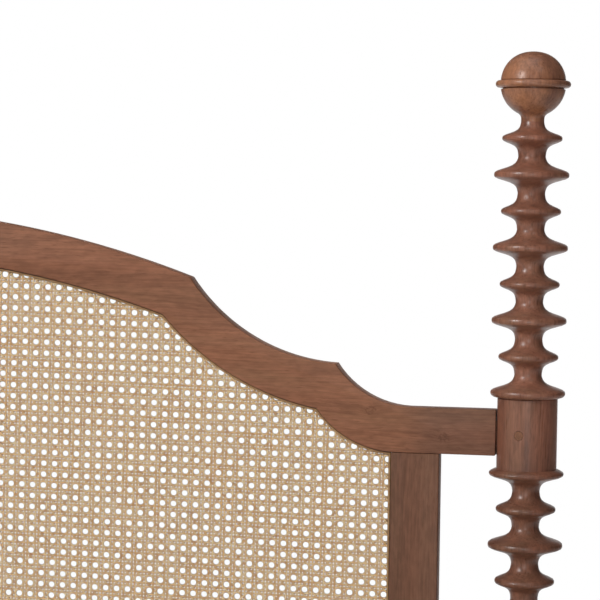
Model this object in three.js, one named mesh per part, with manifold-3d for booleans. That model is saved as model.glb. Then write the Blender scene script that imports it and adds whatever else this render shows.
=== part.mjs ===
import * as THREE from "three";
import { mergeVertices } from "three/addons/utils/BufferGeometryUtils.js";
import Module from "manifold-3d";

// Four poster bed for a queen mattress, in millimetres. +Z is up, the head end is at +Y,
// and the origin is on the floor under the middle of the bed.

const wasm = await Module();
wasm.setup();

// Clearances and facets
const gap = 0.3;
const overrun = 4;
const postSides = 12;
const fixingSides = 8;
const archSteps = 10;
const sweepSteps = 8;
const stepSteps = 5;

// Mattress that the bed is made for
const mattressWidth = 1524;
const mattressLength = 2032;
const mattressSideRoom = 10.5;
const mattressEndRoom = 8;

// Ring-turned posts
const bigRingRadius = 40.5;
const smallRingRadius = 32.4;
const neckRadius = 14.8;
const rimHeight = 7;
const ringPitch = 39.4;
const middleRings = 19;
const upperRings = 8;
const ringSeat = 4.8;
const blockRadius = 32.6;
const upperBlockHeight = 77;
const lowerBlockHeight = 177;
const footRadius = 27;
const footToeRadius = 20;
const footToeHeight = 23;
const footBandHeight = 6;
const glideRadius = 17;
const glideHeight = 5;

// Ball finials
const ballRadius = 35.3;
const bandRadius = 40.5;
const bandHeight = 8;
const ballNeckRadius = 12.5;
const ballRise = 58.3;
const upperNeckLength = 18;

// Spigots that join the post pieces
const postSpigotRadius = 9;
const postSpigotLength = 20;
const finialSpigotRadius = 5;
const finialSpigotLength = 16;

// Side rails and cross rails
const railThickness = 25;
const railHeight = 150;
const railCentreHeight = 280;
const housingDepth = 4.5;
const crossTenonThickness = 12;
const crossTenonHeight = 100;
const crossTenonLength = 19;

// Bed bolts of the side rails, with their barrel nuts
const boltRadius = 4;
const boltHeadRadius = 8;
const boltHeadHeight = 6;
const boltReach = 62;
const boltSink = 10;
const nutRadius = 6.5;
const nutLength = 19;
const nutInset = 45;

// Crest rail of the headboard, with its outline measured in from the post axis
// and up from the rail's centre line
const crestThickness = 22;
const crestRailHeight = 50;
const archTop = 233.4;
const archUnderside = 182.8;
const topCornerIn = 376.5;
const topCornerRise = 161.5;
const stepCornerIn = 210.7;
const stepCornerRise = 70.3;
const stepEndIn = 128;
const topSweepRadius = 211;
const topStepRadius = 102;
const underCornerIn = 407.5;
const underCornerRise = 119.6;
const underStepIn = 231.5;
const underStepRise = 20.4;
const underSweepRadius = 304;
const underStepRadius = 111;
const crestTenonThickness = 12;
const crestTenonHeight = 26;
const crestTenonLength = 41;
const pegRadius = 4.8;
const pegIn = 5.5;
const pegLength = 40;

// Stiles and lower rail of the cane frame
const stileWidth = 53;
const stileThickness = 20;
const stileIn = 94.5;
const stileTenonThickness = 10;
const stileTenonWidth = 33;
const stileTenonLength = 22;
const panelRailHeight = 90;
const panelRailBottom = 480;
const panelTenonHeight = 60;
const panelTenonLength = 26;

// Cane panel and the reed that holds its edge
const caneThickness = 3;
const caneSetback = 4;
const splineWidth = 3.2;
const splineThickness = 2.5;
const canePitch = 70;
const caneStrandWidth = 26;
const caneBorder = 14;

// Slats with their ledgers and tapes
const slatCount = 12;
const slatWidth = 90;
const slatThickness = 18;
const slatDrop = 60;
const slatEndRoom = 2;
const ledgerWidth = 25;
const ledgerHeight = 30;
const ledgerEndRoom = 50;
const tapeWidth = 30;
const tapeThickness = 1.2;
const tapeIn = 300;
const slatOverhang = 20;

// Centre beam with its hangers, legs and levellers
const beamWidth = 70;
const beamHeight = 45;
const hangerThickness = 3;
const hangerLength = 32;
const hangerFlange = 30;
const legSpacing = 1000;
const legWidth = 48;
const legSpigotRadius = 10;
const legSpigotLength = 28;
const levellerHeight = 8;
const levellerRadius = 15;
const levellerStemRadius = 4.5;
const levellerStemLength = 34;
const levellerRoom = 0.4;

// Places worked out from the sizes
const postX = mattressWidth / 2 + mattressSideRoom + railThickness / 2;
const postY = mattressLength / 2 + mattressEndRoom + bigRingRadius;
const lowerBlockBottom = railCentreHeight - lowerBlockHeight / 2;
const lowerBlockTop = railCentreHeight + lowerBlockHeight / 2;
const footTopRing = lowerBlockBottom - ringSeat;
const footBandTop = glideHeight + gap + footToeHeight + footBandHeight;
const footRings = Math.floor((footTopRing - ringPitch / 2 - footBandTop) / ringPitch) + 1;
const footEndHeight = footTopRing - (footRings - 1) * ringPitch - ringPitch / 2;
const middleFirstRing = lowerBlockTop + ringSeat;
const upperBlockBottom = middleFirstRing + (middleRings - 1) * ringPitch + ringSeat;
const upperBlockTop = upperBlockBottom + upperBlockHeight;
const crestLine = upperBlockBottom + upperBlockHeight / 2;
const upperFirstRing = upperBlockTop + ringSeat;
const upperLastRing = upperFirstRing + (upperRings - 1) * ringPitch;
const finialBottom = upperLastRing + upperNeckLength;
const ballCentre = upperLastRing + ballRise;
const blockFlat = blockRadius * Math.cos(Math.PI / postSides);
const housingFloor = blockRadius - housingDepth;
const railTop = railCentreHeight + railHeight / 2;
const railInside = railThickness / 2;
const slatTop = railTop - slatDrop;
const slatBottom = slatTop - slatThickness;
const beamTop = slatBottom - gap;
const beamBottom = beamTop - beamHeight;
const crestShoulder = postX - blockRadius - gap;
const crestUnderside = crestLine - crestRailHeight / 2;
const stileOutside = postX - stileIn;
const stileInside = stileOutside - stileWidth;
const panelRailTop = panelRailBottom + panelRailHeight;

// Materials
function material(color, roughness, metalness) {
  return new THREE.MeshStandardMaterial({ color, roughness, metalness });
}
const walnut = material(0x7f5140, 0.5, 0);
const plainWood = material(0xc9a877, 0.7, 0);
const cane = material(0xd9b57c, 0.7, 0);
const steel = material(0x8f9094, 0.35, 1);
const blackSteel = material(0x2b2b2d, 0.5, 1);
const felt = material(0x4a4038, 0.95, 0);
const tape = material(0xe6e2d6, 0.9, 0);

// Solids
function positionsOnly(geometry) {
  const bare = geometry.clone();
  bare.deleteAttribute("normal");
  bare.deleteAttribute("uv");
  return mergeVertices(bare);
}

function toManifold(geometry) {
  const merged = positionsOnly(geometry);
  const index = merged.index.array;
  const kept = [];
  for (let i = 0; i < index.length; i += 3) {
    const [a, b, c] = [index[i], index[i + 1], index[i + 2]];
    if (a !== b && b !== c && c !== a) kept.push(a, b, c);
  }
  const vertProperties = merged.attributes.position.array;
  const mesh = new wasm.Mesh({ numProp: 3, vertProperties, triVerts: new Uint32Array(kept) });
  return new wasm.Manifold(mesh);
}

function toGeometry(solid) {
  const mesh = solid.getMesh();
  const geometry = new THREE.BufferGeometry();
  geometry.setAttribute("position", new THREE.BufferAttribute(mesh.vertProperties, 3));
  geometry.setIndex(new THREE.BufferAttribute(mesh.triVerts, 1));
  geometry.computeVertexNormals();
  return geometry;
}

function cut(geometry, tools) {
  let solid = toManifold(geometry);
  for (const tool of tools) solid = solid.subtract(toManifold(tool));
  return toGeometry(solid);
}

function join(geometries) {
  let solid = toManifold(geometries[0]);
  for (const other of geometries.slice(1)) solid = solid.add(toManifold(other));
  return toGeometry(solid);
}

function box(low, high) {
  const geometry = new THREE.BoxGeometry(high[0] - low[0], high[1] - low[1], high[2] - low[2]);
  geometry.translate((low[0] + high[0]) / 2, (low[1] + high[1]) / 2, (low[2] + high[2]) / 2);
  return geometry;
}

// A box from its middle, with full sizes
function centredBox(centre, size) {
  const low = centre.map((value, i) => value - size[i] / 2);
  const high = centre.map((value, i) => value + size[i] / 2);
  return box(low, high);
}

// A lathe profile of [radius, height] pairs, turned about Z
function turned(profile, sides) {
  const points = profile.map(([radius, height]) => new THREE.Vector2(radius, height));
  const geometry = new THREE.LatheGeometry(points, sides);
  geometry.rotateX(Math.PI / 2);
  return geometry;
}

function rod(radius, low, high, sides = fixingSides) {
  return turned([[0, low], [radius, low], [radius, high], [0, high]], sides);
}

// Turns a piece that was made along Z, so that its +Z points along X or Y
function alongX(geometry, sign) {
  return geometry.rotateY((sign * Math.PI) / 2);
}

function alongY(geometry, sign) {
  return geometry.rotateX((-sign * Math.PI) / 2);
}

// A flat outline in X and Z, thick along Y about the given middle
function plate(outline, thickness, middleY, holes = []) {
  const shape = new THREE.Shape(outline.map(([x, z]) => new THREE.Vector2(x, z)));
  for (const hole of holes) {
    shape.holes.push(new THREE.Path(hole.map(([x, z]) => new THREE.Vector2(x, z))));
  }
  const geometry = new THREE.ExtrudeGeometry(shape, { depth: thickness, bevelEnabled: false });
  geometry.rotateX(Math.PI / 2);
  geometry.translate(0, middleY + thickness / 2, 0);
  return geometry;
}

// Points of an arc from one point to another. The arc bends to the left of the way it runs
// when bend is 1, and to the right when bend is -1. The first point is left out.
function arc(from, to, radius, bend, steps) {
  const [dx, dz] = [to[0] - from[0], to[1] - from[1]];
  const chord = Math.hypot(dx, dz);
  const rise = Math.sqrt(radius ** 2 - (chord / 2) ** 2);
  const centreX = (from[0] + to[0]) / 2 + (bend * dz * rise) / chord;
  const centreZ = (from[1] + to[1]) / 2 - (bend * dx * rise) / chord;
  const start = Math.atan2(from[1] - centreZ, from[0] - centreX);
  const sweep = -bend * 2 * Math.asin(chord / 2 / radius);
  const points = [];
  for (let i = 1; i <= steps; i += 1) {
    const angle = start + (sweep * i) / steps;
    points.push([centreX + radius * Math.cos(angle), centreZ + radius * Math.sin(angle)]);
  }
  return points;
}

function mirrored(points) {
  return points.map(([x, z]) => [-x, z]).reverse();
}

// Moves a closed outline inwards. The outline runs anticlockwise in X and Z.
function inset(outline, distance) {
  return outline.map((point, i) => {
    const before = outline[(i + outline.length - 1) % outline.length];
    const after = outline[(i + 1) % outline.length];
    const first = new THREE.Vector2(point[0] - before[0], point[1] - before[1]).normalize();
    const second = new THREE.Vector2(after[0] - point[0], after[1] - point[1]).normalize();
    const normal = new THREE.Vector2(-first.y - second.y, first.x + second.x).normalize();
    const reach = distance / (normal.x * -first.y + normal.y * first.x);
    return [point[0] + normal.x * reach, point[1] + normal.y * reach];
  });
}

const bed = new THREE.Group();
bed.name = "four_poster_bed";

function add(name, geometry, look, place = [0, 0, 0]) {
  const mesh = new THREE.Mesh(geometry, look);
  mesh.name = name;
  mesh.position.set(...place);
  bed.add(mesh);
  return mesh;
}

const corners = [
  { name: "head_left", sideX: -1, sideY: 1 },
  { name: "head_right", sideX: 1, sideY: 1 },
  { name: "foot_left", sideX: -1, sideY: -1 },
  { name: "foot_right", sideX: 1, sideY: -1 },
];

// Rings one above the other. Every second one is big, and the first is big when firstBig is true.
function ringStack(firstHeight, count, firstBig) {
  const points = [];
  for (let i = 0; i < count; i += 1) {
    const height = firstHeight + i * ringPitch;
    const radius = (i % 2 === 0) === firstBig ? bigRingRadius : smallRingRadius;
    if (i > 0) points.push([neckRadius, height - ringPitch / 2]);
    points.push([radius, height - rimHeight / 2], [radius, height + rimHeight / 2]);
  }
  return points;
}

// Ends a turned profile on the axis at the floor of a round socket
function socket(radius, top, depth) {
  return [[radius + gap, top], [radius + gap, top - depth - gap], [0, top - depth - gap]];
}

function lowerPostProfile() {
  const base = glideHeight + gap;
  const lastFootRing = footTopRing - (footRings - 1) * ringPitch;
  return [
    [0, base], [footToeRadius, base],
    [footRadius, footBandTop - footBandHeight], [footRadius, footBandTop],
    [neckRadius, footEndHeight],
    ...ringStack(lastFootRing, footRings, footRings % 2 === 1),
    [blockRadius, lowerBlockBottom], [blockRadius, lowerBlockTop],
    ...ringStack(middleFirstRing, middleRings, true),
    [blockRadius, upperBlockBottom], [blockRadius, upperBlockTop],
    ...socket(postSpigotRadius, upperBlockTop, postSpigotLength),
  ];
}

function upperPostProfile() {
  const base = upperBlockTop + gap;
  const top = finialBottom - gap;
  return [
    [0, base - postSpigotLength], [postSpigotRadius, base - postSpigotLength],
    [postSpigotRadius, base], [blockRadius, base],
    ...ringStack(upperFirstRing, upperRings, true),
    [ballNeckRadius, top - rimHeight], [ballNeckRadius, top],
    ...socket(finialSpigotRadius, top, finialSpigotLength),
  ];
}

function finialProfile() {
  const ballSteps = 4;
  const points = [
    [0, finialBottom - finialSpigotLength], [finialSpigotRadius, finialBottom - finialSpigotLength],
    [finialSpigotRadius, finialBottom], [ballNeckRadius, finialBottom],
  ];
  const bandAngle = Math.asin(bandHeight / 2 / ballRadius);
  const neckAngle = Math.acos(ballNeckRadius / ballRadius);
  for (let i = 0; i < ballSteps; i += 1) {
    const angle = -neckAngle + ((neckAngle - bandAngle) * i) / (ballSteps - 1);
    points.push([ballRadius * Math.cos(angle), ballCentre + ballRadius * Math.sin(angle)]);
  }
  points.push([bandRadius, ballCentre - bandHeight / 2], [bandRadius, ballCentre + bandHeight / 2]);
  for (let i = 0; i < ballSteps; i += 1) {
    const angle = bandAngle + ((Math.PI / 2 - bandAngle) * i) / ballSteps;
    points.push([ballRadius * Math.cos(angle), ballCentre + ballRadius * Math.sin(angle)]);
  }
  points.push([0, ballCentre + ballRadius]);
  return points;
}

// A side rail bolt lies along Z here, with its head's outer face at zero
const boltLength = 2 * blockRadius - housingDepth - boltSink + boltReach;

function boltHole() {
  const wide = boltHeadRadius + gap;
  const narrow = boltRadius + gap;
  const shoulder = boltHeadHeight + gap;
  return turned([
    [0, -boltSink - overrun], [wide, -boltSink - overrun], [wide, shoulder],
    [narrow, shoulder], [narrow, boltLength + gap], [0, boltLength + gap],
  ], fixingSides);
}

function bolt() {
  return turned([
    [0, 0], [boltHeadRadius, 0], [boltHeadRadius, boltHeadHeight],
    [boltRadius, boltHeadHeight], [boltRadius, boltLength], [0, boltLength],
  ], fixingSides);
}

// Points a bolt's part from the outer face of a post to its side rail
function placeBolt(geometry, corner, post) {
  const start = blockRadius - boltSink;
  alongY(geometry, -corner.sideY);
  return geometry.translate(post[0], post[1] + corner.sideY * start, railCentreHeight);
}

function postAxis(corner) {
  return [corner.sideX * postX, corner.sideY * postY];
}

// Lower post pieces, housed for the side rails, and mortised for the cross rails and the crest
function housing(corner) {
  const reach = housingFloor + blockRadius / 2;
  const size = [railThickness + 2 * gap, blockRadius, railHeight + 2 * gap];
  return centredBox([0, -corner.sideY * reach, railCentreHeight], size);
}

function crossHousing(corner) {
  const reach = housingFloor + blockRadius / 2;
  const size = [blockRadius, railThickness + 2 * gap, railHeight + 2 * gap];
  return centredBox([-corner.sideX * reach, 0, railCentreHeight], size);
}

function crossMortise(corner) {
  const depth = crossTenonLength + 2 * gap;
  const size = [
    depth + overrun,
    crossTenonThickness + 2 * gap,
    crossTenonHeight + 2 * gap,
  ];
  const middle = housingFloor - depth + size[0] / 2;
  return centredBox([-corner.sideX * middle, 0, railCentreHeight], size);
}

function crestMortise(corner) {
  const depth = crestTenonLength + gap;
  const size = [
    depth + overrun,
    crestTenonThickness + 2 * gap,
    crestTenonHeight + 2 * gap,
  ];
  const middle = blockRadius + gap - depth + size[0] / 2;
  return centredBox([-corner.sideX * middle, 0, crestLine], size);
}

function pegHole(corner) {
  const hole = rod(pegRadius + gap, -blockRadius - overrun, pegLength - blockFlat + 2 * gap);
  alongY(hole, 1);
  return hole.translate(-corner.sideX * pegIn, 0, crestLine);
}

for (const corner of corners) {
  const place = [...postAxis(corner), 0];
  const tools = [
    housing(corner),
    crossHousing(corner),
    crossMortise(corner),
    placeBolt(boltHole(), corner, [0, 0]),
  ];
  if (corner.sideY > 0) tools.push(crestMortise(corner), pegHole(corner));
  add(`${corner.name}_post_lower`, cut(turned(lowerPostProfile(), postSides), tools), walnut, place);
  add(`${corner.name}_post_upper`, turned(upperPostProfile(), postSides), walnut, place);
  add(`${corner.name}_finial`, turned(finialProfile(), postSides), walnut, place);
  add(`${corner.name}_glide`, rod(glideRadius, 0, glideHeight, postSides), felt, place);
}

// Barrel nuts lie across the side rails, and the bolts run through them
function barrelNut(corner, radius, low, high) {
  const [x, y] = postAxis(corner);
  const nut = alongX(rod(radius, low, high), -corner.sideX);
  return nut.translate(x, y - corner.sideY * (housingFloor + nutInset), railCentreHeight);
}

function nutPocket(corner) {
  return barrelNut(corner, nutRadius + gap, -nutLength / 2 - gap, railThickness / 2 + overrun);
}

function boltHoleInRail(corner) {
  return placeBolt(boltHole(), corner, postAxis(corner));
}

for (const corner of corners) {
  add(`${corner.name}_bed_bolt`, placeBolt(bolt(), corner, postAxis(corner)), steel);
  const nut = barrelNut(corner, nutRadius, -nutLength / 2, nutLength / 2);
  add(`${corner.name}_barrel_nut`, cut(nut, [boltHoleInRail(corner)]), steel);
}

// Side rails and the foot rail
const sideRailHalf = postY - housingFloor - gap;
const crossRailHalf = postX - housingFloor - gap;

for (const side of [-1, 1]) {
  const name = side < 0 ? "left_side_rail" : "right_side_rail";
  const rail = centredBox([side * postX, 0, railCentreHeight],
    [railThickness, 2 * sideRailHalf, railHeight]);
  const ends = corners.filter((corner) => corner.sideX === side);
  add(name, cut(rail, ends.flatMap((corner) => [boltHoleInRail(corner), nutPocket(corner)])), walnut);
}

function crossRail(sideY) {
  const middle = [0, sideY * postY, railCentreHeight];
  const rail = centredBox(middle, [2 * crossRailHalf, railThickness, railHeight]);
  const tenonHalf = crossRailHalf + crossTenonLength;
  const tenons = centredBox(middle, [2 * tenonHalf, crossTenonThickness, crossTenonHeight]);
  return join([rail, tenons]);
}
add("foot_rail", crossRail(-1), walnut);

// Headboard frame. A tenon is joined to its piece, and its mortise has the gap all round.
const stileMiddle = (stileInside + stileOutside) / 2;

function stileTenon(side, shoulder, direction, room) {
  const length = stileTenonLength + room;
  const size = [stileTenonWidth + 2 * room, stileTenonThickness + 2 * room, length + overrun];
  const middle = shoulder + (direction * (length - overrun)) / 2;
  return centredBox([side * stileMiddle, postY, middle], size);
}

function panelTenon(side, room) {
  const length = panelTenonLength + room;
  const middle = stileInside + (length - overrun) / 2;
  const height = panelTenonHeight + 2 * room;
  const size = [length + overrun, stileTenonThickness + 2 * room, height];
  return centredBox([side * middle, postY, panelRailBottom + panelRailHeight / 2], size);
}

const headRail = cut(crossRail(1), [-1, 1].map((side) => stileTenon(side, railTop, -1, gap)));
add("head_rail", headRail, walnut);

for (const side of [-1, 1]) {
  const name = side < 0 ? "headboard_left_stile" : "headboard_right_stile";
  const body = box(
    [side * stileMiddle - stileWidth / 2, postY - stileThickness / 2, railTop + gap],
    [side * stileMiddle + stileWidth / 2, postY + stileThickness / 2, crestUnderside - gap],
  );
  const top = stileTenon(side, crestUnderside, 1, 0);
  const bottom = stileTenon(side, railTop, -1, 0);
  const stile = cut(join([body, top, bottom]), [panelTenon(side, gap)]);
  add(name, stile, walnut);
}

const panelRailBody = box(
  [-stileInside + gap, postY - stileThickness / 2, panelRailBottom],
  [stileInside - gap, postY + stileThickness / 2, panelRailTop],
);
add("headboard_panel_rail", join([panelRailBody, panelTenon(-1, 0), panelTenon(1, 0)]), walnut);

// Crest rail
function crestTop() {
  const span = postX - topCornerIn;
  const rise = archTop - topCornerRise;
  const archRadius = (span ** 2 + rise ** 2) / (2 * rise);
  const corner = [span, crestLine + topCornerRise];
  const step = [postX - stepCornerIn, crestLine + stepCornerRise];
  const end = [postX - stepEndIn, crestLine + crestRailHeight / 2];
  return [
    [0, crestLine + archTop],
    ...arc([0, crestLine + archTop], corner, archRadius, 1, archSteps),
    ...arc(corner, step, topSweepRadius, -1, sweepSteps),
    ...arc(step, end, topStepRadius, -1, stepSteps),
  ];
}

function crestUnder() {
  const span = postX - underCornerIn;
  const rise = archUnderside - underCornerRise;
  const archRadius = (span ** 2 + rise ** 2) / (2 * rise);
  const corner = [span, crestLine + underCornerRise];
  const step = [postX - underStepIn, crestLine + underStepRise];
  const end = [stileInside, crestUnderside];
  return [
    [0, crestLine + archUnderside],
    ...arc([0, crestLine + archUnderside], corner, archRadius, 1, archSteps),
    ...arc(corner, step, underSweepRadius, -1, sweepSteps),
    ...arc(step, end, underStepRadius, -1, stepSteps),
  ];
}

const topRight = [...crestTop(), [crestShoulder, crestLine + crestRailHeight / 2]];
const underRight = [...crestUnder(), [crestShoulder, crestUnderside]];
const crestOutline = [
  ...underRight,
  ...topRight.slice(1).reverse(),
  ...topRight.slice(0, 1),
  ...mirrored(topRight.slice(1)).reverse(),
  ...mirrored(underRight.slice(1)),
];

function crestTenon(side) {
  const middle = crestShoulder + (crestTenonLength - overrun) / 2;
  const size = [crestTenonLength + overrun, crestTenonThickness, crestTenonHeight];
  return centredBox([side * middle, postY, crestLine], size);
}

function pegHoleInTenon(corner) {
  return pegHole(corner).translate(corner.sideX * postX, postY, 0);
}

const headCorners = corners.filter((corner) => corner.sideY > 0);
const crest = cut(
  join([plate(crestOutline, crestThickness, postY), crestTenon(-1), crestTenon(1)]),
  [
    ...headCorners.map(pegHoleInTenon),
    stileTenon(-1, crestUnderside, 1, gap),
    stileTenon(1, crestUnderside, 1, gap),
  ],
);
add("headboard_crest_rail", crest, walnut);

function peg(corner) {
  const solid = rod(pegRadius, gap - blockFlat, gap - blockFlat + pegLength);
  alongY(solid, 1);
  return solid.translate(-corner.sideX * pegIn, 0, crestLine);
}
for (const corner of headCorners) {
  add(`${corner.name}_crest_peg`, peg(corner), walnut, [...postAxis(corner), 0]);
}

// Cane panel with its open mesh, and the reed round its front edge
const openingRight = crestUnder();
const opening = [
  [-stileInside, panelRailTop], [stileInside, panelRailTop],
  ...openingRight.slice().reverse(),
  ...mirrored(openingRight.slice(1)).reverse(),
];

const caneFront = postY - caneSetback;

function openingHeight(x) {
  const reach = Math.abs(x);
  for (let i = 1; i < openingRight.length; i += 1) {
    const [x0, z0] = openingRight[i - 1];
    const [x1, z1] = openingRight[i];
    if (reach <= x1) return z0 + ((z1 - z0) * (reach - x0)) / (x1 - x0);
  }
  return crestUnderside;
}

function caneGaps() {
  const usable = 2 * (stileInside - gap - caneBorder) + caneStrandWidth;
  const columns = Math.floor(usable / canePitch);
  const rows = Math.floor((crestLine + archUnderside - panelRailTop) / canePitch);
  const half = (canePitch - caneStrandWidth) / 2;
  const firstZ = panelRailTop + gap + caneBorder + half;
  const gaps = [];
  for (let column = 0; column < columns; column += 1) {
    const x = (column - (columns - 1) / 2) * canePitch;
    for (let row = 0; row < rows; row += 1) {
      const z = firstZ + row * canePitch;
      const ceiling = Math.min(openingHeight(Math.abs(x) + half), openingHeight(x));
      if (z + half + caneBorder > ceiling) break;
      gaps.push(centredBox([x, caneFront, z], [2 * half, 2 * (caneThickness + overrun), 2 * half]));
    }
  }
  return gaps;
}

const caneSheet = plate(inset(opening, gap), caneThickness, caneFront + caneThickness / 2);
add("cane_panel", cut(caneSheet, caneGaps()), cane);
const splineMiddle = caneFront - gap - splineThickness / 2;
const splineInside = inset(opening, gap + splineWidth).reverse();
add("cane_spline", plate(inset(opening, gap), splineThickness, splineMiddle, [splineInside]), cane);

// Ledgers, slats and the tapes that space them
const ledgerHalf = postY - railInside - ledgerEndRoom;
const slatHalf = postX - railInside - slatEndRoom;
const slatRun = 2 * (ledgerHalf - slatOverhang) - slatWidth;

for (const side of [-1, 1]) {
  const name = side < 0 ? "left_slat_ledger" : "right_slat_ledger";
  const middle = side * (postX - railInside - gap - ledgerWidth / 2);
  const height = slatBottom - gap - ledgerHeight / 2;
  add(name, centredBox([middle, 0, height], [ledgerWidth, 2 * ledgerHalf, ledgerHeight]), plainWood);
}

for (let i = 0; i < slatCount; i += 1) {
  const number = String(i + 1).padStart(2, "0");
  const y = (i / (slatCount - 1) - 1 / 2) * slatRun;
  const middle = [0, y, slatTop - slatThickness / 2];
  add(`slat_${number}`, centredBox(middle, [2 * slatHalf, slatWidth, slatThickness]), plainWood);
}

for (const side of [-1, 1]) {
  const name = side < 0 ? "left_slat_tape" : "right_slat_tape";
  const strip = centredBox(
    [side * (postX - tapeIn), 0, slatBottom - gap - tapeThickness / 2],
    [tapeWidth, slatRun + slatWidth, tapeThickness],
  );
  add(name, strip, tape);
}

// Centre beam, hung from the head and foot rails
const beamHalf = postY - railInside - gap - hangerThickness - gap;
const beam = centredBox([0, 0, (beamTop + beamBottom) / 2], [beamWidth, 2 * beamHalf, beamHeight]);

function legSpigot(y, room) {
  const high = beamBottom + legSpigotLength + room;
  return rod(legSpigotRadius + room, beamBottom - overrun, high, postSides).translate(0, y, 0);
}

const legPlaces = [-legSpacing / 2, legSpacing / 2];
add("centre_beam", cut(beam, legPlaces.map((y) => legSpigot(y, gap))), plainWood);

// A hanger is an open box of steel plate: a back plate on the rail, a floor and two cheeks
function hanger(sideY) {
  const back = sideY * (postY - railInside - gap);
  const front = back - sideY * (hangerThickness + hangerLength);
  const inner = back - sideY * hangerThickness;
  const halfOut = beamWidth / 2 + gap + hangerThickness;
  const low = beamBottom - gap - hangerThickness;
  const plateHalf = halfOut + hangerFlange;
  const [yLow, yHigh] = [Math.min(back, inner), Math.max(back, inner)];
  const [trayLow, trayHigh] = [Math.min(inner, front), Math.max(inner, front)];
  const backPlate = box([-plateHalf, yLow, low], [plateHalf, yHigh, beamTop]);
  const tray = box([-halfOut, trayLow, low], [halfOut, trayHigh, beamTop]);
  const room = box(
    [-beamWidth / 2 - gap, trayLow - overrun, beamBottom - gap],
    [beamWidth / 2 + gap, trayHigh + overrun, beamTop + overrun],
  );
  return join([backPlate, cut(tray, [room])]);
}
add("head_beam_hanger", hanger(1), blackSteel);
add("foot_beam_hanger", hanger(-1), blackSteel);

// Centre legs with screw-in levellers
const legTop = beamBottom - gap;
const legBottom = levellerHeight + gap;

function levellerBore(y) {
  const top = levellerHeight + levellerStemLength + gap;
  return rod(levellerStemRadius + levellerRoom, legBottom - overrun, top).translate(0, y, 0);
}

for (const y of legPlaces) {
  const end = y > 0 ? "head" : "foot";
  const leg = centredBox([0, y, (legTop + legBottom) / 2], [legWidth, legWidth, legTop - legBottom]);
  add(`${end}_centre_leg`, cut(join([leg, legSpigot(y, 0)]), [levellerBore(y)]), plainWood);
  const leveller = turned([
    [0, 0], [levellerRadius, 0], [levellerRadius, levellerHeight],
    [levellerStemRadius, levellerHeight],
    [levellerStemRadius, levellerHeight + levellerStemLength], [0, levellerHeight + levellerStemLength],
  ], fixingSides);
  add(`${end}_leg_leveller`, leveller.translate(0, y, 0), blackSteel);
}
export default bed;
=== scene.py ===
import math

import bpy
from mathutils import Matrix, Vector


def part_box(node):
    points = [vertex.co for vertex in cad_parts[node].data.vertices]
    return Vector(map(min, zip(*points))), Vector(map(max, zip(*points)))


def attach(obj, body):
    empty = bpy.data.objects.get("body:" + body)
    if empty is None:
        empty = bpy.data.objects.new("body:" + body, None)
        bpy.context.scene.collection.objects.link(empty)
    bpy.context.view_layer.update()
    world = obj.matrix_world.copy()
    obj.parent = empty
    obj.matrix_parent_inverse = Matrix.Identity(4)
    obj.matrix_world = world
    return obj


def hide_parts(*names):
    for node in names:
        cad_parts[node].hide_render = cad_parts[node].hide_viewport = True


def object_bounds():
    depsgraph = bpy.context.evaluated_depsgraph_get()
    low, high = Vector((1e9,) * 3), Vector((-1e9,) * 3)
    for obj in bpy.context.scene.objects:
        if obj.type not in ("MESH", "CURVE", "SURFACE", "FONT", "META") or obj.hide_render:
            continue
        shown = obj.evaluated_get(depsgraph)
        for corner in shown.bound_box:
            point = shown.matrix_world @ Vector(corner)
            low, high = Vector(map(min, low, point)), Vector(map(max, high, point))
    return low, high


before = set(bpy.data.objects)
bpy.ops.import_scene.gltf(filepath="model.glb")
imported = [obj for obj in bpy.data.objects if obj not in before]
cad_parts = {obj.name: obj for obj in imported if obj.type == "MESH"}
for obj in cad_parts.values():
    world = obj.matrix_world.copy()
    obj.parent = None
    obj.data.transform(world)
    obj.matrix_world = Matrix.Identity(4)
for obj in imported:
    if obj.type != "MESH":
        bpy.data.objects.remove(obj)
cadLow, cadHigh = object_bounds()
print("frame loaded")

# All sizes here are metres, as in the frame. The head end is at +Y.
fit = 0.0003             # clearance between neighbouring pieces
over = 0.01              # how far a cutter stands out of the face that it opens
near = 0.00001           # places closer than this are the same place
facing = 0.99            # cosine above which a face looks in a given direction
coarseSides = 32         # faces round small rods and turned fittings
fineSides = 48           # faces round larger ones
corners = [
    {"name": "head_left", "sideX": -1, "sideY": 1},
    {"name": "head_right", "sideX": 1, "sideY": 1},
    {"name": "foot_left", "sideX": -1, "sideY": -1},
    {"name": "foot_right", "sideX": 1, "sideY": -1},
]


# The object that was made last, under its name
def newest(name):
    bpy.context.object.name = name
    return bpy.context.object


# Camera at the photograph's viewing angle
cameraSetup = {
    "place": (1.0634, -1.5277, 1.3895),
    "azimuth": 11.595,       # degrees, turned to the left of +Y
    "elevation": 2.704,      # degrees, looking down
    "roll": 0.804,
    "lens": 144,
    "sensor": 36,
    "farEnd": 50,
}


def makeCamera():
    azimuth = math.radians(cameraSetup["azimuth"])
    elevation = math.radians(cameraSetup["elevation"])
    back = Vector((math.sin(azimuth) * math.cos(elevation),
                   -math.cos(azimuth) * math.cos(elevation), math.sin(elevation)))
    right = Vector((math.cos(azimuth), math.sin(azimuth), 0))
    up = back.cross(right)
    level = Matrix((right, up, back)).transposed()
    turn = level @ Matrix.Rotation(math.radians(cameraSetup["roll"]), 3, "Z")
    bpy.ops.object.camera_add(location=cameraSetup["place"], rotation=turn.to_euler())
    camera = newest("photoCamera")
    camera.data.lens = cameraSetup["lens"]
    camera.data.sensor_width = cameraSetup["sensor"]
    camera.data.clip_end = cameraSetup["farEnd"]
    bpy.context.scene.camera = camera


# Objects and edit mode
def deselectAll():
    if bpy.context.mode != "OBJECT":
        bpy.ops.object.mode_set(mode="OBJECT")
    bpy.ops.object.select_all(action="DESELECT")


def pick(piece):
    deselectAll()
    piece.select_set(True)
    bpy.context.view_layer.objects.active = piece


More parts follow.
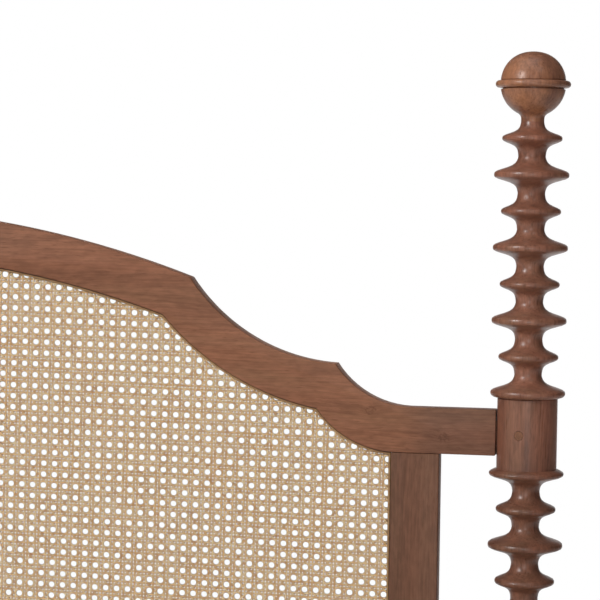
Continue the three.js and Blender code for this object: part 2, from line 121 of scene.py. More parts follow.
def startEdit(piece, kind="VERT", everything=False):
    pick(piece)
    bpy.ops.object.mode_set(mode="EDIT")
    bpy.ops.mesh.select_mode(type=kind)
    bpy.ops.mesh.select_all(action="SELECT" if everything else "DESELECT")


def endEdit():
    bpy.ops.object.mode_set(mode="OBJECT")


def selectFaces(piece, test):
    startEdit(piece, "FACE")
    endEdit()
    for face in piece.data.polygons:
        face.select = test(face.center, face.normal)
    bpy.ops.object.mode_set(mode="EDIT")


def selectEdges(piece, test):
    startEdit(piece, "EDGE")
    endEdit()
    points = piece.data.vertices
    for edge in piece.data.edges:
        first, second = (points[i].co for i in edge.vertices)
        edge.select = test(first, second)
    bpy.ops.object.mode_set(mode="EDIT")


def tidyMesh(piece, merge=near):
    startEdit(piece, everything=True)
    bpy.ops.mesh.remove_doubles(threshold=merge)
    bpy.ops.mesh.normals_make_consistent(inside=False)
    endEdit()


def settle(piece):
    pick(piece)
    bpy.ops.object.transform_apply(location=True, rotation=True, scale=True)


def joined(name, pieces):
    deselectAll()
    for piece in pieces:
        piece.select_set(True)
    bpy.context.view_layer.objects.active = pieces[0]
    if len(pieces) > 1:
        bpy.ops.object.join()
    pieces[0].name = name
    return pieces[0]


def copied(piece, name, offset=(0, 0, 0)):
    pick(piece)
    bpy.ops.object.duplicate()
    copy = newest(name)
    copy.data.name = name
    bpy.ops.transform.translate(value=offset)
    settle(copy)
    return copy


def remove(piece):
    pick(piece)
    bpy.ops.object.delete()


def combine(piece, other, operation):
    pick(piece)
    modifier = piece.modifiers.new("boolean", "BOOLEAN")
    modifier.operation, modifier.solver, modifier.object = operation, "EXACT", other
    bpy.ops.object.modifier_apply(modifier=modifier.name)
    remove(other)


def cutAway(piece, cutters):
    for cutter in cutters:
        combine(piece, cutter, "DIFFERENCE")
    tidyMesh(piece)


# Gives a piece its look and its body, and hides the frame's nodes that it stands for. Edges
# that turn by less than the angle, in degrees, are shaded smooth.
def finishPiece(piece, lookName, nodes=(), body="bed_frame", angle=32):
    slotName, look = looks[lookName]
    settle(piece)
    piece.data.materials.clear()
    piece.data.materials.append(look)
    pick(piece)
    bpy.ops.object.shade_smooth_by_angle(angle=math.radians(angle))
    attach(piece, body)
    if nodes:
        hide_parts(*nodes)


# Simple starts
def drawLine(name, points, closed=False):
    deselectAll()
    bpy.ops.mesh.primitive_plane_add(size=0.01)
    piece = newest(name)
    startEdit(piece, everything=True)
    bpy.ops.mesh.merge(type="CENTER")
    bpy.ops.transform.translate(value=points[0])
    for before, after in zip(points, points[1:]):
        step = Vector(after) - Vector(before)
        bpy.ops.mesh.extrude_vertices_move(TRANSFORM_OT_translate={"value": step})
    if closed:
        bpy.ops.mesh.select_all(action="SELECT")
        bpy.ops.mesh.edge_face_add()
    endEdit()
    return piece


def lathe(name, profile, steps=coarseSides):
    piece = drawLine(name, [(radius, 0, height) for radius, height in profile])
    startEdit(piece, everything=True)
    bpy.ops.mesh.spin(steps=steps, angle=math.tau, center=(0, 0, 0), axis=(0, 0, 1))
    endEdit()
    tidyMesh(piece)
    return piece


# A box between any two opposite corners
def cube(name, first, second):
    deselectAll()
    low, high = Vector(map(min, first, second)), Vector(map(max, first, second))
    bpy.ops.mesh.primitive_cube_add(size=1, location=(low + high) / 2)
    piece = newest(name)
    piece.dimensions = high - low
    settle(piece)
    return piece


def rod(name, radius, start, end, sides=coarseSides):
    deselectAll()
    start, end = Vector(start), Vector(end)
    along = end - start
    turn = along.to_track_quat("Z", "Y").to_euler()
    bpy.ops.mesh.primitive_cylinder_add(vertices=sides, radius=radius, depth=along.length,
                                        location=(start + end) / 2, rotation=turn)
    piece = newest(name)
    settle(piece)
    return piece


def extrude(offset):
    bpy.ops.mesh.extrude_region_move(TRANSFORM_OT_translate={"value": offset})


# Grows a tenon from the face that looks in the given direction
def growTenon(piece, direction, sizes, length):
    way = Vector(direction)
    reach = max(way.dot(corner.co) for corner in piece.data.vertices)
    selectFaces(piece, lambda centre, normal: normal.dot(way) > facing and way.dot(centre) > reach - near)
    endEdit()
    points = piece.data.vertices
    ends = [points[i].co for face in piece.data.polygons if face.select for i in face.vertices]
    low, high = Vector(map(min, *ends)), Vector(map(max, *ends))
    scale = [size / extent if extent > near else 1 for size, extent in zip(sizes, high - low)]
    bpy.ops.object.mode_set(mode="EDIT")
    extrude((0, 0, 0))
    bpy.ops.transform.resize(value=scale, center_override=(low + high) / 2)
    extrude(way * length)
    endEdit()


def growTenons(piece, sizes, length):
    for side in (1, -1):
        growTenon(piece, (side, 0, 0), sizes, length)


def easeEdges(piece, width, segments=2, test=lambda first, second: True):
    selectEdges(piece, test)
    bpy.ops.mesh.bevel(offset=width, segments=segments, affect="EDGES", clamp_overlap=True)
    endEdit()


# Eases the rims of the flat ends that look in the given directions
def easeEnds(piece, width, *ways):
    selectFaces(piece, lambda centre, normal: any(normal.dot(Vector(way)) > facing for way in ways))
    bpy.ops.mesh.bevel(offset=width, segments=2, affect="EDGES")
    endEdit()


# Values from the first to the last in even steps
def spread(first, last, steps):
    return [first + (last - first) * i / steps for i in range(steps + 1)]


print("helpers ready")
makeCamera()


# Material building
def newLook(name):
    look = bpy.data.materials.new(name)
    look.use_nodes = True
    return look, look.node_tree, look.node_tree.nodes["Principled BSDF"]


def setInputs(tree, node, inputs):
    for name, value in inputs.items():
        if isinstance(value, bpy.types.NodeSocket):
            tree.links.new(value, node.inputs[name])
        else:
            node.inputs[name].default_value = value


def addNode(tree, kind, inputs=None, **settings):
    node = tree.nodes.new("ShaderNode" + kind)
    for name, value in settings.items():
        setattr(node, name, value)
    setInputs(tree, node, inputs or {})
    return node


def objectPlace(tree):
    return addNode(tree, "TexCoord").outputs["Object"]


def stretched(tree, vector, scale, turn=(0, 0, 0)):
    inputs = {"Vector": vector, "Scale": scale, "Rotation": turn}
    return addNode(tree, "Mapping", inputs).outputs["Vector"]


def noise(tree, vector, scale=1, detail=2, roughness=0.5):
    inputs = {"Vector": vector, "Scale": scale, "Detail": detail, "Roughness": roughness}
    return addNode(tree, "TexNoise", inputs).outputs["Fac"]


def maths(tree, operation, first, second=0.5, third=0.5):
    inputs = {0: first, 1: second, 2: third}
    return addNode(tree, "Math", inputs, operation=operation).outputs[0]


def vectorMaths(tree, operation, first, second=(0, 0, 0)):
    outputs = addNode(tree, "VectorMath", {0: first, 1: second}, operation=operation).outputs
    return outputs["Value" if operation == "LENGTH" else "Vector"]


def axisPart(tree, vector, axis):
    return addNode(tree, "SeparateXYZ", {0: vector}).outputs[axis]


# A value that moves from one bound to another while the given one does
def ranged(tree, value, fromLow, fromHigh, toLow=0, toHigh=1):
    inputs = {"Value": value, "From Min": fromLow, "From Max": fromHigh,
              "To Min": toLow, "To Max": toHigh}
    return addNode(tree, "MapRange", inputs, interpolation_type="SMOOTHSTEP").outputs[0]


def mixed(tree, share, first, second, blend="MIX"):
    node = addNode(tree, "Mix", {0: share}, data_type="RGBA", blend_type=blend)
    for socket, value in ((6, first), (7, second)):
        setInputs(tree, node, {socket: value if isinstance(value, bpy.types.NodeSocket) else (*value, 1)})
    return node.outputs[2]


# Lays tones over a colour. A layer has a value, the bounds it moves between, its most and its tone.
def layered(tree, colour, tones, layers):
    for value, start, stop, most, tone in layers:
        colour = mixed(tree, ranged(tree, value, start, stop, 0, most), colour, tones[tone])
    return colour


def bump(tree, height, strength, distance):
    inputs = {"Height": height, "Strength": strength, "Distance": distance}
    return addNode(tree, "Bump", inputs).outputs["Normal"]


# Scale along and across the grain, for grain that runs along the named axis
def grainScale(axis, along, across):
    return [along if name == axis else across for name in "XYZ"]


walnut = {
    "dark": (0.142, 0.060, 0.034),
    "middle": (0.198, 0.087, 0.050),
    "light": (0.245, 0.114, 0.066),
    "warm": (0.236, 0.092, 0.050),
    "olive": (0.186, 0.098, 0.053),
    "poreColour": (0.070, 0.030, 0.018),
    "patches": 0.5,
    "ringScale": 46,         # annual rings, about 7 mm apart
    "ringDepth": 0.12,
    "pores": 0.55,
    "mottle": 0.09,
    "streaks": 0.21,
    "rough": (0.27, 0.39),
    "specular": 0.42,
}
walnutBoards = {
    **walnut,
    "patches": 0.3,
    "ringDepth": 0.07,
    "pores": 0.4,
    "streaks": 0.15,
    "rough": (0.36, 0.50),
    "specular": 0.16,
}
walnutStiles = {
    **walnutBoards,
    "dark": (0.168, 0.073, 0.042),
    "light": (0.228, 0.105, 0.060),
    "patches": 0.2,
}
walnutBall = {
    **walnut,
    "light": (0.275, 0.128, 0.062),
    "warm": (0.270, 0.116, 0.054),
    "patches": 0.7,
}
plainWood = {
    "dark": (0.40, 0.235, 0.110),
    "middle": (0.545, 0.365, 0.195),
    "light": (0.640, 0.465, 0.275),
    "warm": (0.600, 0.395, 0.200),
    "olive": (0.560, 0.400, 0.215),
    "poreColour": (0.36, 0.19, 0.085),
    "patches": 0.6,
    "ringScale": 52,
    "ringDepth": 0.20,
    "pores": 0.22,
    "mottle": 0.04,
    "streaks": 0.15,
    "rough": (0.55, 0.72),
    "specular": 0.35,
}
# Noise of the wood: scale along and across the grain, detail and roughness
grainFields = {
    "wander": (1.1, 7, 3, 0.5),
    "bands": (0.9, 24, 3, 0.55),
    "fibres": (22, 520, 3, 0.6),
    "hue": (5, 38, 2, 0.5),
    "specks": (95, 1300, 1, 0.5),
    "poreLimit": (6, 60, 1, 0.5),
    "mottle": (70, 200, 2, 0.5),
}
grainSetup = {
    "wander": 0.05,          # how far the grain wanders
    "lean": (1.1, -0.8, 1.3),    # degrees that it leans off its axis
    "ringWave": {"Distortion": 1.6, "Detail": 2, "Detail Scale": 1.2},
    "poreSharpness": 9,
    "poreRough": 0.25,
    "fibreHeight": 0.35,     # against a pore's depth of 1
    "relief": (0.3, 0.00018),
}
knotSetup = {
    "flatten": 0.75,
    "uneven": (320, 0.0016),     # scale and reach of its uneven edge
    "pull": (0.012, 0.0028),     # how far off, and how much, the grain bends round it
    "rim": 0.0030,
    "rimFade": (0.0002, 0.0018),
    "shade": 0.34,
}


# The place bent round a knot, and the knot's shade
def aroundKnot(tree, place, knot, axis):
    away = vectorMaths(tree, "SUBTRACT", place, knot)
    away = stretched(tree, away, grainScale(axis, knotSetup["flatten"], 1))
    scale, reach = knotSetup["uneven"]
    uneven = ranged(tree, noise(tree, place, scale), 0.3, 0.7, -reach, reach)
    distance = maths(tree, "ADD", vectorMaths(tree, "LENGTH", away), uneven)
    pull = ranged(tree, distance, 0, *knotSetup["pull"], 0)
    push = addNode(tree, "CombineXYZ", {"Z" if axis != "Z" else "X": pull}).outputs[0]
    rim = maths(tree, "ABSOLUTE", maths(tree, "SUBTRACT", distance, knotSetup["rim"]))
    shade = ranged(tree, rim, *knotSetup["rimFade"], knotSetup["shade"], 0)
    return vectorMaths(tree, "ADD", place, push), shade


# Wood whose rings, bands, fibres and pores all run along one axis. Knots bend them. Ends give two
# distances out along the axis, between which the tint turns to a tint of their own: painted light and shade.
def woodLook(name, wood, axis, tint=(1, 1, 1), knots=(), ends=None):
    look, tree, shader = newLook(name)

    def field(kind, vector):
        along, across, detail, roughness = grainFields[kind]
        return noise(tree, stretched(tree, vector, grainScale(axis, along, across)), 1, detail, roughness)
    place, knotShade = objectPlace(tree), None
    for knot in knots:
        place, shade = aroundKnot(tree, place, knot, axis)
        knotShade = maths(tree, "MAXIMUM", knotShade, shade) if knotShade else shade
    wander = grainSetup["wander"]
    shift = maths(tree, "MULTIPLY_ADD", field("wander", place), wander, -wander / 2)
    shifts = addNode(tree, "CombineXYZ", {0: shift, 1: shift, 2: shift}).outputs[0]
    bent = vectorMaths(tree, "ADD", place, shifts)
    leaning = stretched(tree, bent, (1, 1, 1), [math.radians(angle) for angle in grainSetup["lean"]])
    waveInputs = {"Vector": leaning, "Scale": wood["ringScale"], **grainSetup["ringWave"]}
    rings = addNode(tree, "TexWave", waveInputs, wave_type="RINGS", rings_direction=axis,
                    wave_profile="SAW").outputs["Fac"]
    bands, hue, fibres = field("bands", leaning), field("hue", bent), field("fibres", bent)
    poreLimit = ranged(tree, field("poreLimit", bent), 0.35, 0.65, 0.70, 0.60)
    pores = maths(tree, "SUBTRACT", field("specks", bent), poreLimit)
    pores = maths(tree, "MULTIPLY", pores, grainSetup["poreSharpness"])
    pores = maths(tree, "MAXIMUM", maths(tree, "MINIMUM", pores, 1), 0)

    layers = [(bands, 0.30, 0.52, 1, "middle"), (bands, 0.48, 0.72, 1, "light"),
              (hue, 0.48, 0.72, wood["patches"], "warm"), (hue, 0.50, 0.28, wood["patches"], "olive")]
    colour = layered(tree, wood["dark"], wood, layers)
    grey = ranged(tree, rings, 0.55, 1.0, 1.0, 1 - wood["ringDepth"])
    streak = ranged(tree, fibres, 0.25, 0.75, 1 - wood["streaks"], 1 + wood["streaks"])
    cloud = ranged(tree, field("mottle", bent), 0.3, 0.7, 1 - wood["mottle"], 1 + wood["mottle"])
    tone = maths(tree, "MULTIPLY", maths(tree, "MULTIPLY", grey, streak), cloud)
    tones = addNode(tree, "CombineColor", {0: tone, 1: tone, 2: tone}).outputs[0]
    colour = mixed(tree, 1, colour, tones, "MULTIPLY")
    colour = mixed(tree, maths(tree, "MULTIPLY", pores, wood["pores"]), colour, wood["poreColour"])
    if knotShade:
        colour = mixed(tree, knotShade, colour, wood["poreColour"])
    # Painted light and shade along the axis, between the ends' two distances
    if ends:
        reach = maths(tree, "ABSOLUTE", axisPart(tree, place, axis))
        tint = mixed(tree, ranged(tree, reach, ends["start"], ends["stop"]), tint, ends["tint"])
    rough = ranged(tree, fibres, 0.3, 0.7, *wood["rough"])
    height = maths(tree, "SUBTRACT", maths(tree, "MULTIPLY", fibres, grainSetup["fibreHeight"]), pores)
    setInputs(tree, shader, {
        "Base Color": mixed(tree, 1, colour, tint, "MULTIPLY"),
        "Roughness": maths(tree, "MULTIPLY_ADD", pores, grainSetup["poreRough"], rough),
        "Specular IOR Level": wood["specular"],
        "Normal": bump(tree, height, *grainSetup["relief"]),
    })
    return look


caneTone = {
    "pale": (1.000, 0.810, 0.485),
    "golden": (1.000, 0.630, 0.250),
    "brown": (0.460, 0.200, 0.068),
    # deep: the tone of painted shade, deep in the weave and along a strand's edges
    "deep": (0.110, 0.045, 0.018),
    "speckScale": 480,
    "specks": 0.72,
    "rough": (0.26, 0.42),
    "ridge": 2 / 3,          # where the ridge lies round a strand's section
    "flat": 1 / 3,           # share of the section that is the flat back
    "flankShade": 0.85,      # painted shade along a strand's two edges
}
reedTone = {
    "pale": (0.430, 0.265, 0.125),
    "golden": (0.350, 0.195, 0.080),
    "brown": (0.220, 0.110, 0.045),
    # deep: the tone of painted shade in the groove under the bead
    "deep": (0.060, 0.028, 0.013),
    "speckScale": 480,
    "specks": 0.2,
    "rough": (0.36, 0.52),
    "flankShade": 0,
}

# Noise of the cane along a strand, through it and across it: the strand, its patches and its fibres
caneFields = [(9, 1, 260), (34, 1, 60), (60, 1200, 2600)]


# Cane skin whose fibres run along a direction in the headboard's plane, an angle above level.
# Painted shade darkens the skin deep in the weave, seen from either side of the web's middle.
def caneLook(name, tone, angle, stain):
    look, tree, shader = newLook(name)
    place = objectPlace(tree)
    depth = maths(tree, "SUBTRACT", axisPart(tree, place, "Y"), webMiddle)
    side = maths(tree, "SIGN", axisPart(tree, addNode(tree, "TexCoord").outputs["Normal"], "Y"))
    outward = maths(tree, "MULTIPLY", depth, side)
    turned = stretched(tree, place, (1, 1, 1), (0, math.radians(angle), 0))
    strand, patches, fibres = [noise(tree, stretched(tree, turned, scale)) for scale in caneFields]
    specks = noise(tree, place, tone["speckScale"], 1)
    # The layer in the tone deep is painted shade deep in the weave, and the flank layer is painted shade
    # along a strand's edges
    layers = [(strand, 0.35, 0.68, 1, "pale"), (patches, 0.55, 0.80, 0.5, "brown"),
              (fibres, 0.55, 0.9, 0.35, "brown"), (specks, 0.50, 0.62, tone["specks"], "brown"),
              (specks, 0.47, 0.37, tone["specks"], "pale"), (outward, *stain, 1, "deep")]
    if tone["flankShade"]:
        around = axisPart(tree, addNode(tree, "UVMap").outputs[0], "Y")
        aside = maths(tree, "ABSOLUTE", maths(tree, "SUBTRACT", around, tone["ridge"]))
        behind = maths(tree, "ABSOLUTE", maths(tree, "MULTIPLY_ADD", around, 2, -tone["flat"]))
        aside = maths(tree, "MINIMUM", aside, behind)
        layers.append((aside, 0.09, 0.22, tone["flankShade"], "deep"))
    setInputs(tree, shader, {
        "Base Color": layered(tree, tone["golden"], tone, layers),
        "Roughness": ranged(tree, fibres, 0.3, 0.7, *tone["rough"]),
        "Specular IOR Level": 0.5,
        "Normal": bump(tree, fibres, 0.2, 0.0001),
    })
    return look


metalNoise = {"clouds": 60, "scratches": 900}
metalTones = {
    "zincSteel": {
        "base": (0.46, 0.47, 0.48),
        "stain": (0.36, 0.37, 0.37),
        "metallic": 1,
        "rough": (0.26, 0.44),
    },
    "blackSteel": {
        "base": (0.022, 0.022, 0.024),
        "stain": (0.034, 0.034, 0.036),
        "metallic": 0,
        "rough": (0.42, 0.6),
    },
}


def metalLook(name):
    tone = metalTones[name]
    look, tree, shader = newLook(name)
    place = objectPlace(tree)
    cloud = noise(tree, place, metalNoise["clouds"], 3)
    scratches = noise(tree, place, metalNoise["scratches"])
    setInputs(tree, shader, {
        "Base Color": mixed(tree, ranged(tree, cloud, 0.35, 0.7), tone["base"], tone["stain"]),
        "Roughness": ranged(tree, cloud, 0.3, 0.7, *tone["rough"]),
        "Metallic": tone["metallic"],
        "Normal": bump(tree, scratches, 0.25, 0.0001),
    })
    return look


feltTone = {"base": (0.075, 0.058, 0.046), "fleck": (0.16, 0.13, 0.10), "fuzz": 1500, "clumps": 260}


def feltLook():
    look, tree, shader = newLook("woolFelt")
    place = objectPlace(tree)
    fuzz, clumps = noise(tree, place, feltTone["fuzz"], 4, 0.7), noise(tree, place, feltTone["clumps"], 3)
    share = maths(tree, "MULTIPLY", ranged(tree, fuzz, 0.45, 0.7), ranged(tree, clumps, 0.3, 0.7, 0.4, 1))
    setInputs(tree, shader, {
        "Base Color": mixed(tree, share, feltTone["base"], feltTone["fleck"]),
        "Roughness": 0.95,
        "Sheen Weight": 0.4,
        "Sheen Roughness": 0.5,
        "Normal": bump(tree, fuzz, 0.6, 0.0004),
    })
    return look


tapeTone = {
    "thread": (0.74, 0.70, 0.62),
    "shade": (0.52, 0.48, 0.41),
    "weave": 140.625,        # scale of the waves, for threads 2.2 mm apart
    "wear": 35,
}


# Cotton tape with its warp along Y and its weft along X
def tapeLook():
    look, tree, shader = newLook("cottonTape")
    place = objectPlace(tree)
    inputs = {"Vector": place, "Scale": tapeTone["weave"], "Distortion": 0.3}
    waves = [addNode(tree, "TexWave", inputs, bands_direction=direction).outputs["Fac"] for direction in "XY"]
    weft = maths(tree, "MAXIMUM", *waves)
    wear = noise(tree, place, tapeTone["wear"], 3)
    layers = [(weft, 0.2, 0.9, 1, "thread"), (wear, 0.5, 0.8, 0.3, "shade")]
    setInputs(tree, shader, {
        "Base Color": layered(tree, tapeTone["shade"], tapeTone, layers),
        "Roughness": 0.9,
        "Normal": bump(tree, weft, 0.5, 0.0002),
    })
    return look


lowerPostLow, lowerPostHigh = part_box("head_right_post_lower")
postX = (lowerPostLow.x + lowerPostHigh.x) / 2
postY = (lowerPostLow.y + lowerPostHigh.y) / 2
webMiddle = postY - 0.0025       # the plane that the cane lies about
webDepthShade = (0.0004, -0.0013)     # painted shade deep in the weave: out from the web's middle, where the skin is clear of it and where it is darkest
reedGrooveShade = (0.0037, 0.0027)     # the same painted shade for the reed, in the corner under its bead
crestKnots = [(0.6137, 1.0535, 1.1464), (0.6953, 1.0535, 1.1190)]
crestEndShade = {"start": 0.640, "stop": 0.690, "tint": (0.93, 0.985, 1.06)}    # painted shade on the crest's straight ends, beside the posts
postUpperLight = {"start": 1.06, "stop": 1.16, "tint": (1.33, 1.29, 1.40)}        # painted light: the posts lighter from the upper block up
woodLooks = {
    "postWood": ("walnutTurned", walnut, "Z", (0.93, 0.91, 0.97), (), postUpperLight),
    "ballWood": ("walnutBall", walnutBall, "Z", (1.42, 1.42, 1.46)),
    "stileWood": ("walnutUpright", walnutStiles, "Z", (0.82, 0.86, 0.89)),
    "crossWood": ("walnutCross", walnutBoards, "X", (0.80, 0.86, 0.95)),
    "crestWood": ("walnutCrest", walnutBoards, "X", (1.28, 1.275, 1.25), crestKnots, crestEndShade),
    "sideWood": ("walnutSide", walnutBoards, "Y"),
    "slatWood": ("plainCross", plainWood, "X"),
    "beamWood": ("plainLong", plainWood, "Y"),
    "legWood": ("plainUpright", plainWood, "Z"),
}
caneLooks = {
    "caneUpright": (caneTone, 90, webDepthShade),
    "caneLevel": (caneTone, 0, webDepthShade),
    "caneRising": (caneTone, -45, webDepthShade),
    "caneFalling": (caneTone, 45, webDepthShade),
    "caneReed": (reedTone, 20, reedGrooveShade),
}
looks = {
    "zincSteel": ("zinc_steel", metalLook("zincSteel")),
    "blackSteel": ("black_steel", metalLook("blackSteel")),
    "felt": ("felt", feltLook()),
    "tape": ("tape", tapeLook()),
}
for name, values in woodLooks.items():
    looks[name] = ("plain_wood" if values[1] is plainWood else "walnut", woodLook(*values))
for name, values in caneLooks.items():
    looks[name] = ("cane", caneLook(name, *values))
print("materials ready")


# Posts. Heights are read from the frame, and the turning repeats one ring and neck.
turning = {
    "steps": 64,             # faces round a post
    "flankSteps": 10,        # rows of faces from a rim to the neck
    "flankPower": 1.25,      # gathers those rows at the rim
    "pitch": 0.0394,
    "bigRim": 0.0405,
    "smallRim": 0.0324,
    "neck": 0.0148,
    "bigUpper": (0.0080, 3.5),     # height where the flank is half way in, and how sharply it turns
    "bigLower": (0.0070, 3.6),
    "smallUpper": (0.0064, 3.2),
    "smallLower": (0.0061, 3.4),
    "topUpper": (0.00635, 3.4),    # the last ring, under the ball
    "footRings": 4,
    "middleRings": 19,
    "upperRings": 8,
    "ringSeat": 0.0048,
    "blockRadius": 0.0326,
    "lowerBlock": 0.177,
    "upperBlock": 0.077,
    "seam": 0.0006,
    "spigot": 0.009,
    "spigotLength": 0.020,
    "spigotEase": 0.0005,
    "cutReach": 0.05,        # cutters reach this far out from a post's axis
}


def flank(rim, neck, fall, reach, side):
    half, sharpness = fall
    atNeck = 1 / (1 + (reach / half) ** sharpness)
    points = []
    for step in spread(0, 1, turning["flankSteps"]):
        rise = reach * step ** turning["flankPower"]
        share = (1 / (1 + (rise / half) ** sharpness) - atNeck) / (1 - atNeck)
        points.append((neck + (rim - neck) * share, side * rise))
    return points


def ringHalf(big, side):
    rim = turning["bigRim" if big else "smallRim"]
    fall = turning[("big" if big else "small") + ("Upper" if side > 0 else "Lower")]
    points = flank(rim, turning["neck"], fall, turning["pitch"] / 2, side)
    return points if side > 0 else points[::-1]


# The rim of a ring that sits on a block (side -1) or under one (side 1)
def seatedHalf(side):
    rim, block, seat = turning["bigRim"], turning["blockRadius"], turning["ringSeat"]
    depth = rim - block
    shares = [(0, 1.0), (0.02, 0.93), (0.36, 0.90), (0.62, 0.78), (0.84, 0.56), (0.96, 0.28), (1, 0)]
    if side > 0:
        shares = [(1, 0), (0.95, 0.2), (0.80, 0.42), (0.58, 0.62), (0.34, 0.82), (0.12, 0.95), (0, 1.0)]
    return [(block + depth * out, side * seat * away) for out, away in shares]


def raised(points, height):
    return [(radius, height + rise) for radius, rise in points]


# Rings from one height up, where firstBig says whether the lowest is a big one
def ringStack(height, count, firstBig, seatedBelow=False, seatedAbove=False):
    profile = []
    for i in range(count):
        big = (i % 2 == 0) == firstBig
        lower = seatedHalf(-1) if seatedBelow and i == 0 else ringHalf(big, -1)
        upper = seatedHalf(1) if seatedAbove and i == count - 1 else ringHalf(big, 1)
        both = lower + upper[1:]
        profile += raised(both if i == 0 else both[1:], height + i * turning["pitch"])
    return profile


upperPostLow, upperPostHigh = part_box("head_right_post_upper")
sideRailLow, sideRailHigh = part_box("right_side_rail")
railLine = (sideRailLow.z + sideRailHigh.z) / 2
footBase = lowerPostLow.z
lowerBlockBottom = railLine - turning["lowerBlock"] / 2
lowerBlockTop = railLine + turning["lowerBlock"] / 2
upperBlockTop = lowerPostHigh.z
upperBlockBottom = upperBlockTop - turning["upperBlock"]
crestLine = (upperBlockTop + upperBlockBottom) / 2
finialJoint = upperPostHigh.z + fit
footTopRing = lowerBlockBottom - turning["ringSeat"]
footLastRing = footTopRing - (turning["footRings"] - 1) * turning["pitch"]
upperFirstRing = upperBlockTop + turning["ringSeat"]
upperLastRing = upperFirstRing + (turning["upperRings"] - 1) * turning["pitch"]

# Foot below its first neck, as radius and height above the glide
footOutline = [
    (0, 0), (0.0188, 0), (0.0200, 0.0012), (0.0216, 0.0055), (0.0238, 0.0120), (0.0256, 0.0180),
    (0.0265, 0.0222), (0.0270, 0.0240), (0.0270, 0.0276), (0.0264, 0.0290), (0.0250, 0.0294),
    (0.0218, 0.0302), (0.0186, 0.0326), (0.0166, 0.0360), (0.0153, 0.0400),
]


# A block is turned as a closed drum, cut, and opened again at the ends that meet rings
def cutBlock(name, low, high, cutters, openTop=True):
    radius, seam = turning["blockRadius"], turning["seam"]
    top = [(radius, high), (0, high)]
    if not openTop:
        socket, floor = turning["spigot"] + fit, high - turning["spigotLength"] - fit
        top = [(radius, high - seam), (radius - seam, high), (socket, high), (socket, floor), (0, floor)]
    piece = lathe(name, [(0, low), (radius, low)] + top, turning["steps"])
    cutAway(piece, cutters)
    ends = [low, high] if openTop else [low]
    selectFaces(piece, lambda centre, normal: any(abs(centre.z - end) < near for end in ends))
    bpy.ops.mesh.delete(type="FACE")
    endEdit()
    return piece


rails = {
    "thickness": 0.025,
    "height": 0.150,
    "housing": 0.0045,
    "tenonThickness": 0.012,
    "tenonHeight": 0.100,
    "tenonLength": 0.019,
    "ease": 0.0018,
}
boltSetup = {
    "radius": 0.004,
    "head": 0.008,
    "headHeight": 0.006,
    "rim": 0.0008,           # eased edges of the head, outside and under it
    "under": 0.0003,
    "sink": 0.010,
    "reach": 0.062,
    "thread": 0.044,
    "tip": 0.001,
    "nutRadius": 0.0065,
    "nutLength": 0.019,
    "nutInset": 0.045,
    "nutEase": 0.0006,
    "nutSlot": (0.0015, 0.0006),     # depth and half width
    "pocketReach": 0.03,
}
crestSetup = {
    "thickness": 0.022,
    "railHeight": 0.050,
    "ease": 0.0012,
    "tenonThickness": 0.012,
    "tenonHeight": 0.026,
    "tenonLength": 0.041,
    "pegRadius": 0.0048,
    "pegIn": 0.0055,
    "pegLength": 0.040,
    "pegProud": 0.0001,
    "pegTrim": 0.002,        # cut off in front, to the round of the block
    "pegEase": 0.0008,
    "trimSides": 128,        # faces of the drum that trims it
}
railFloor = turning["blockRadius"] - rails["housing"]
boltLength = 2 * turning["blockRadius"] - rails["housing"] - boltSetup["sink"] + boltSetup["reach"]
boltStart = postY + turning["blockRadius"] - boltSetup["sink"]
nutLine = postY - railFloor - boltSetup["nutInset"]


# Cutters for the lower block, about the post's own axis
def lowerCutters(corner):
    sideX, sideY, far = corner["sideX"], corner["sideY"], turning["cutReach"]
    wide, tall = rails["thickness"] / 2 + fit, rails["height"] / 2 + fit
    slim, short = rails["tenonThickness"] / 2 + fit, rails["tenonHeight"] / 2 + fit
    deep = railFloor - rails["tenonLength"] - 2 * fit
    shoulder = turning["blockRadius"] - boltSetup["sink"] - boltSetup["headHeight"] - fit
    outside = (0, sideY * far, railLine)
    return [
        cube("housing", (-wide, -sideY * railFloor, railLine - tall), (wide, -sideY * far, railLine + tall)),
        cube("housing", (-sideX * railFloor, -wide, railLine - tall), (-sideX * far, wide, railLine + tall)),
        cube("mortise", (-sideX * deep, -slim, railLine - short), (-sideX * far, slim, railLine + short)),
        rod("headHole", boltSetup["head"] + fit, outside, (0, sideY * shoulder, railLine)),
        rod("boltHole", boltSetup["radius"] + fit, outside, (0, -sideY * far, railLine)),
    ]


def upperCutters(corner):
    if corner["sideY"] < 0:
        return []
    sideX, far = corner["sideX"], turning["cutReach"]
    wide, tall = crestSetup["tenonThickness"] / 2 + fit, crestSetup["tenonHeight"] / 2 + fit
    reach = turning["blockRadius"] - crestSetup["tenonLength"]
    pegX, depth = -sideX * crestSetup["pegIn"], crestSetup["pegLength"] - turning["blockRadius"]
    return [
        cube("mortise", (-sideX * reach, -wide, crestLine - tall), (-sideX * far, wide, crestLine + tall)),
        rod("pegHole", crestSetup["pegRadius"] + fit, (pegX, -far, crestLine), (pegX, depth, crestLine)),
    ]


def cornerPlace(corner):
    return (corner["sideX"] * postX, corner["sideY"] * postY, 0)


# Copies of a piece made on the origin, one on each post's axis
def copyToCorners(first, ending, lookName, nodeEnding):
    for corner in corners:
        piece = copied(first, corner["name"] + ending, cornerPlace(corner))
        finishPiece(piece, lookName, [corner["name"] + nodeEnding])
    remove(first)


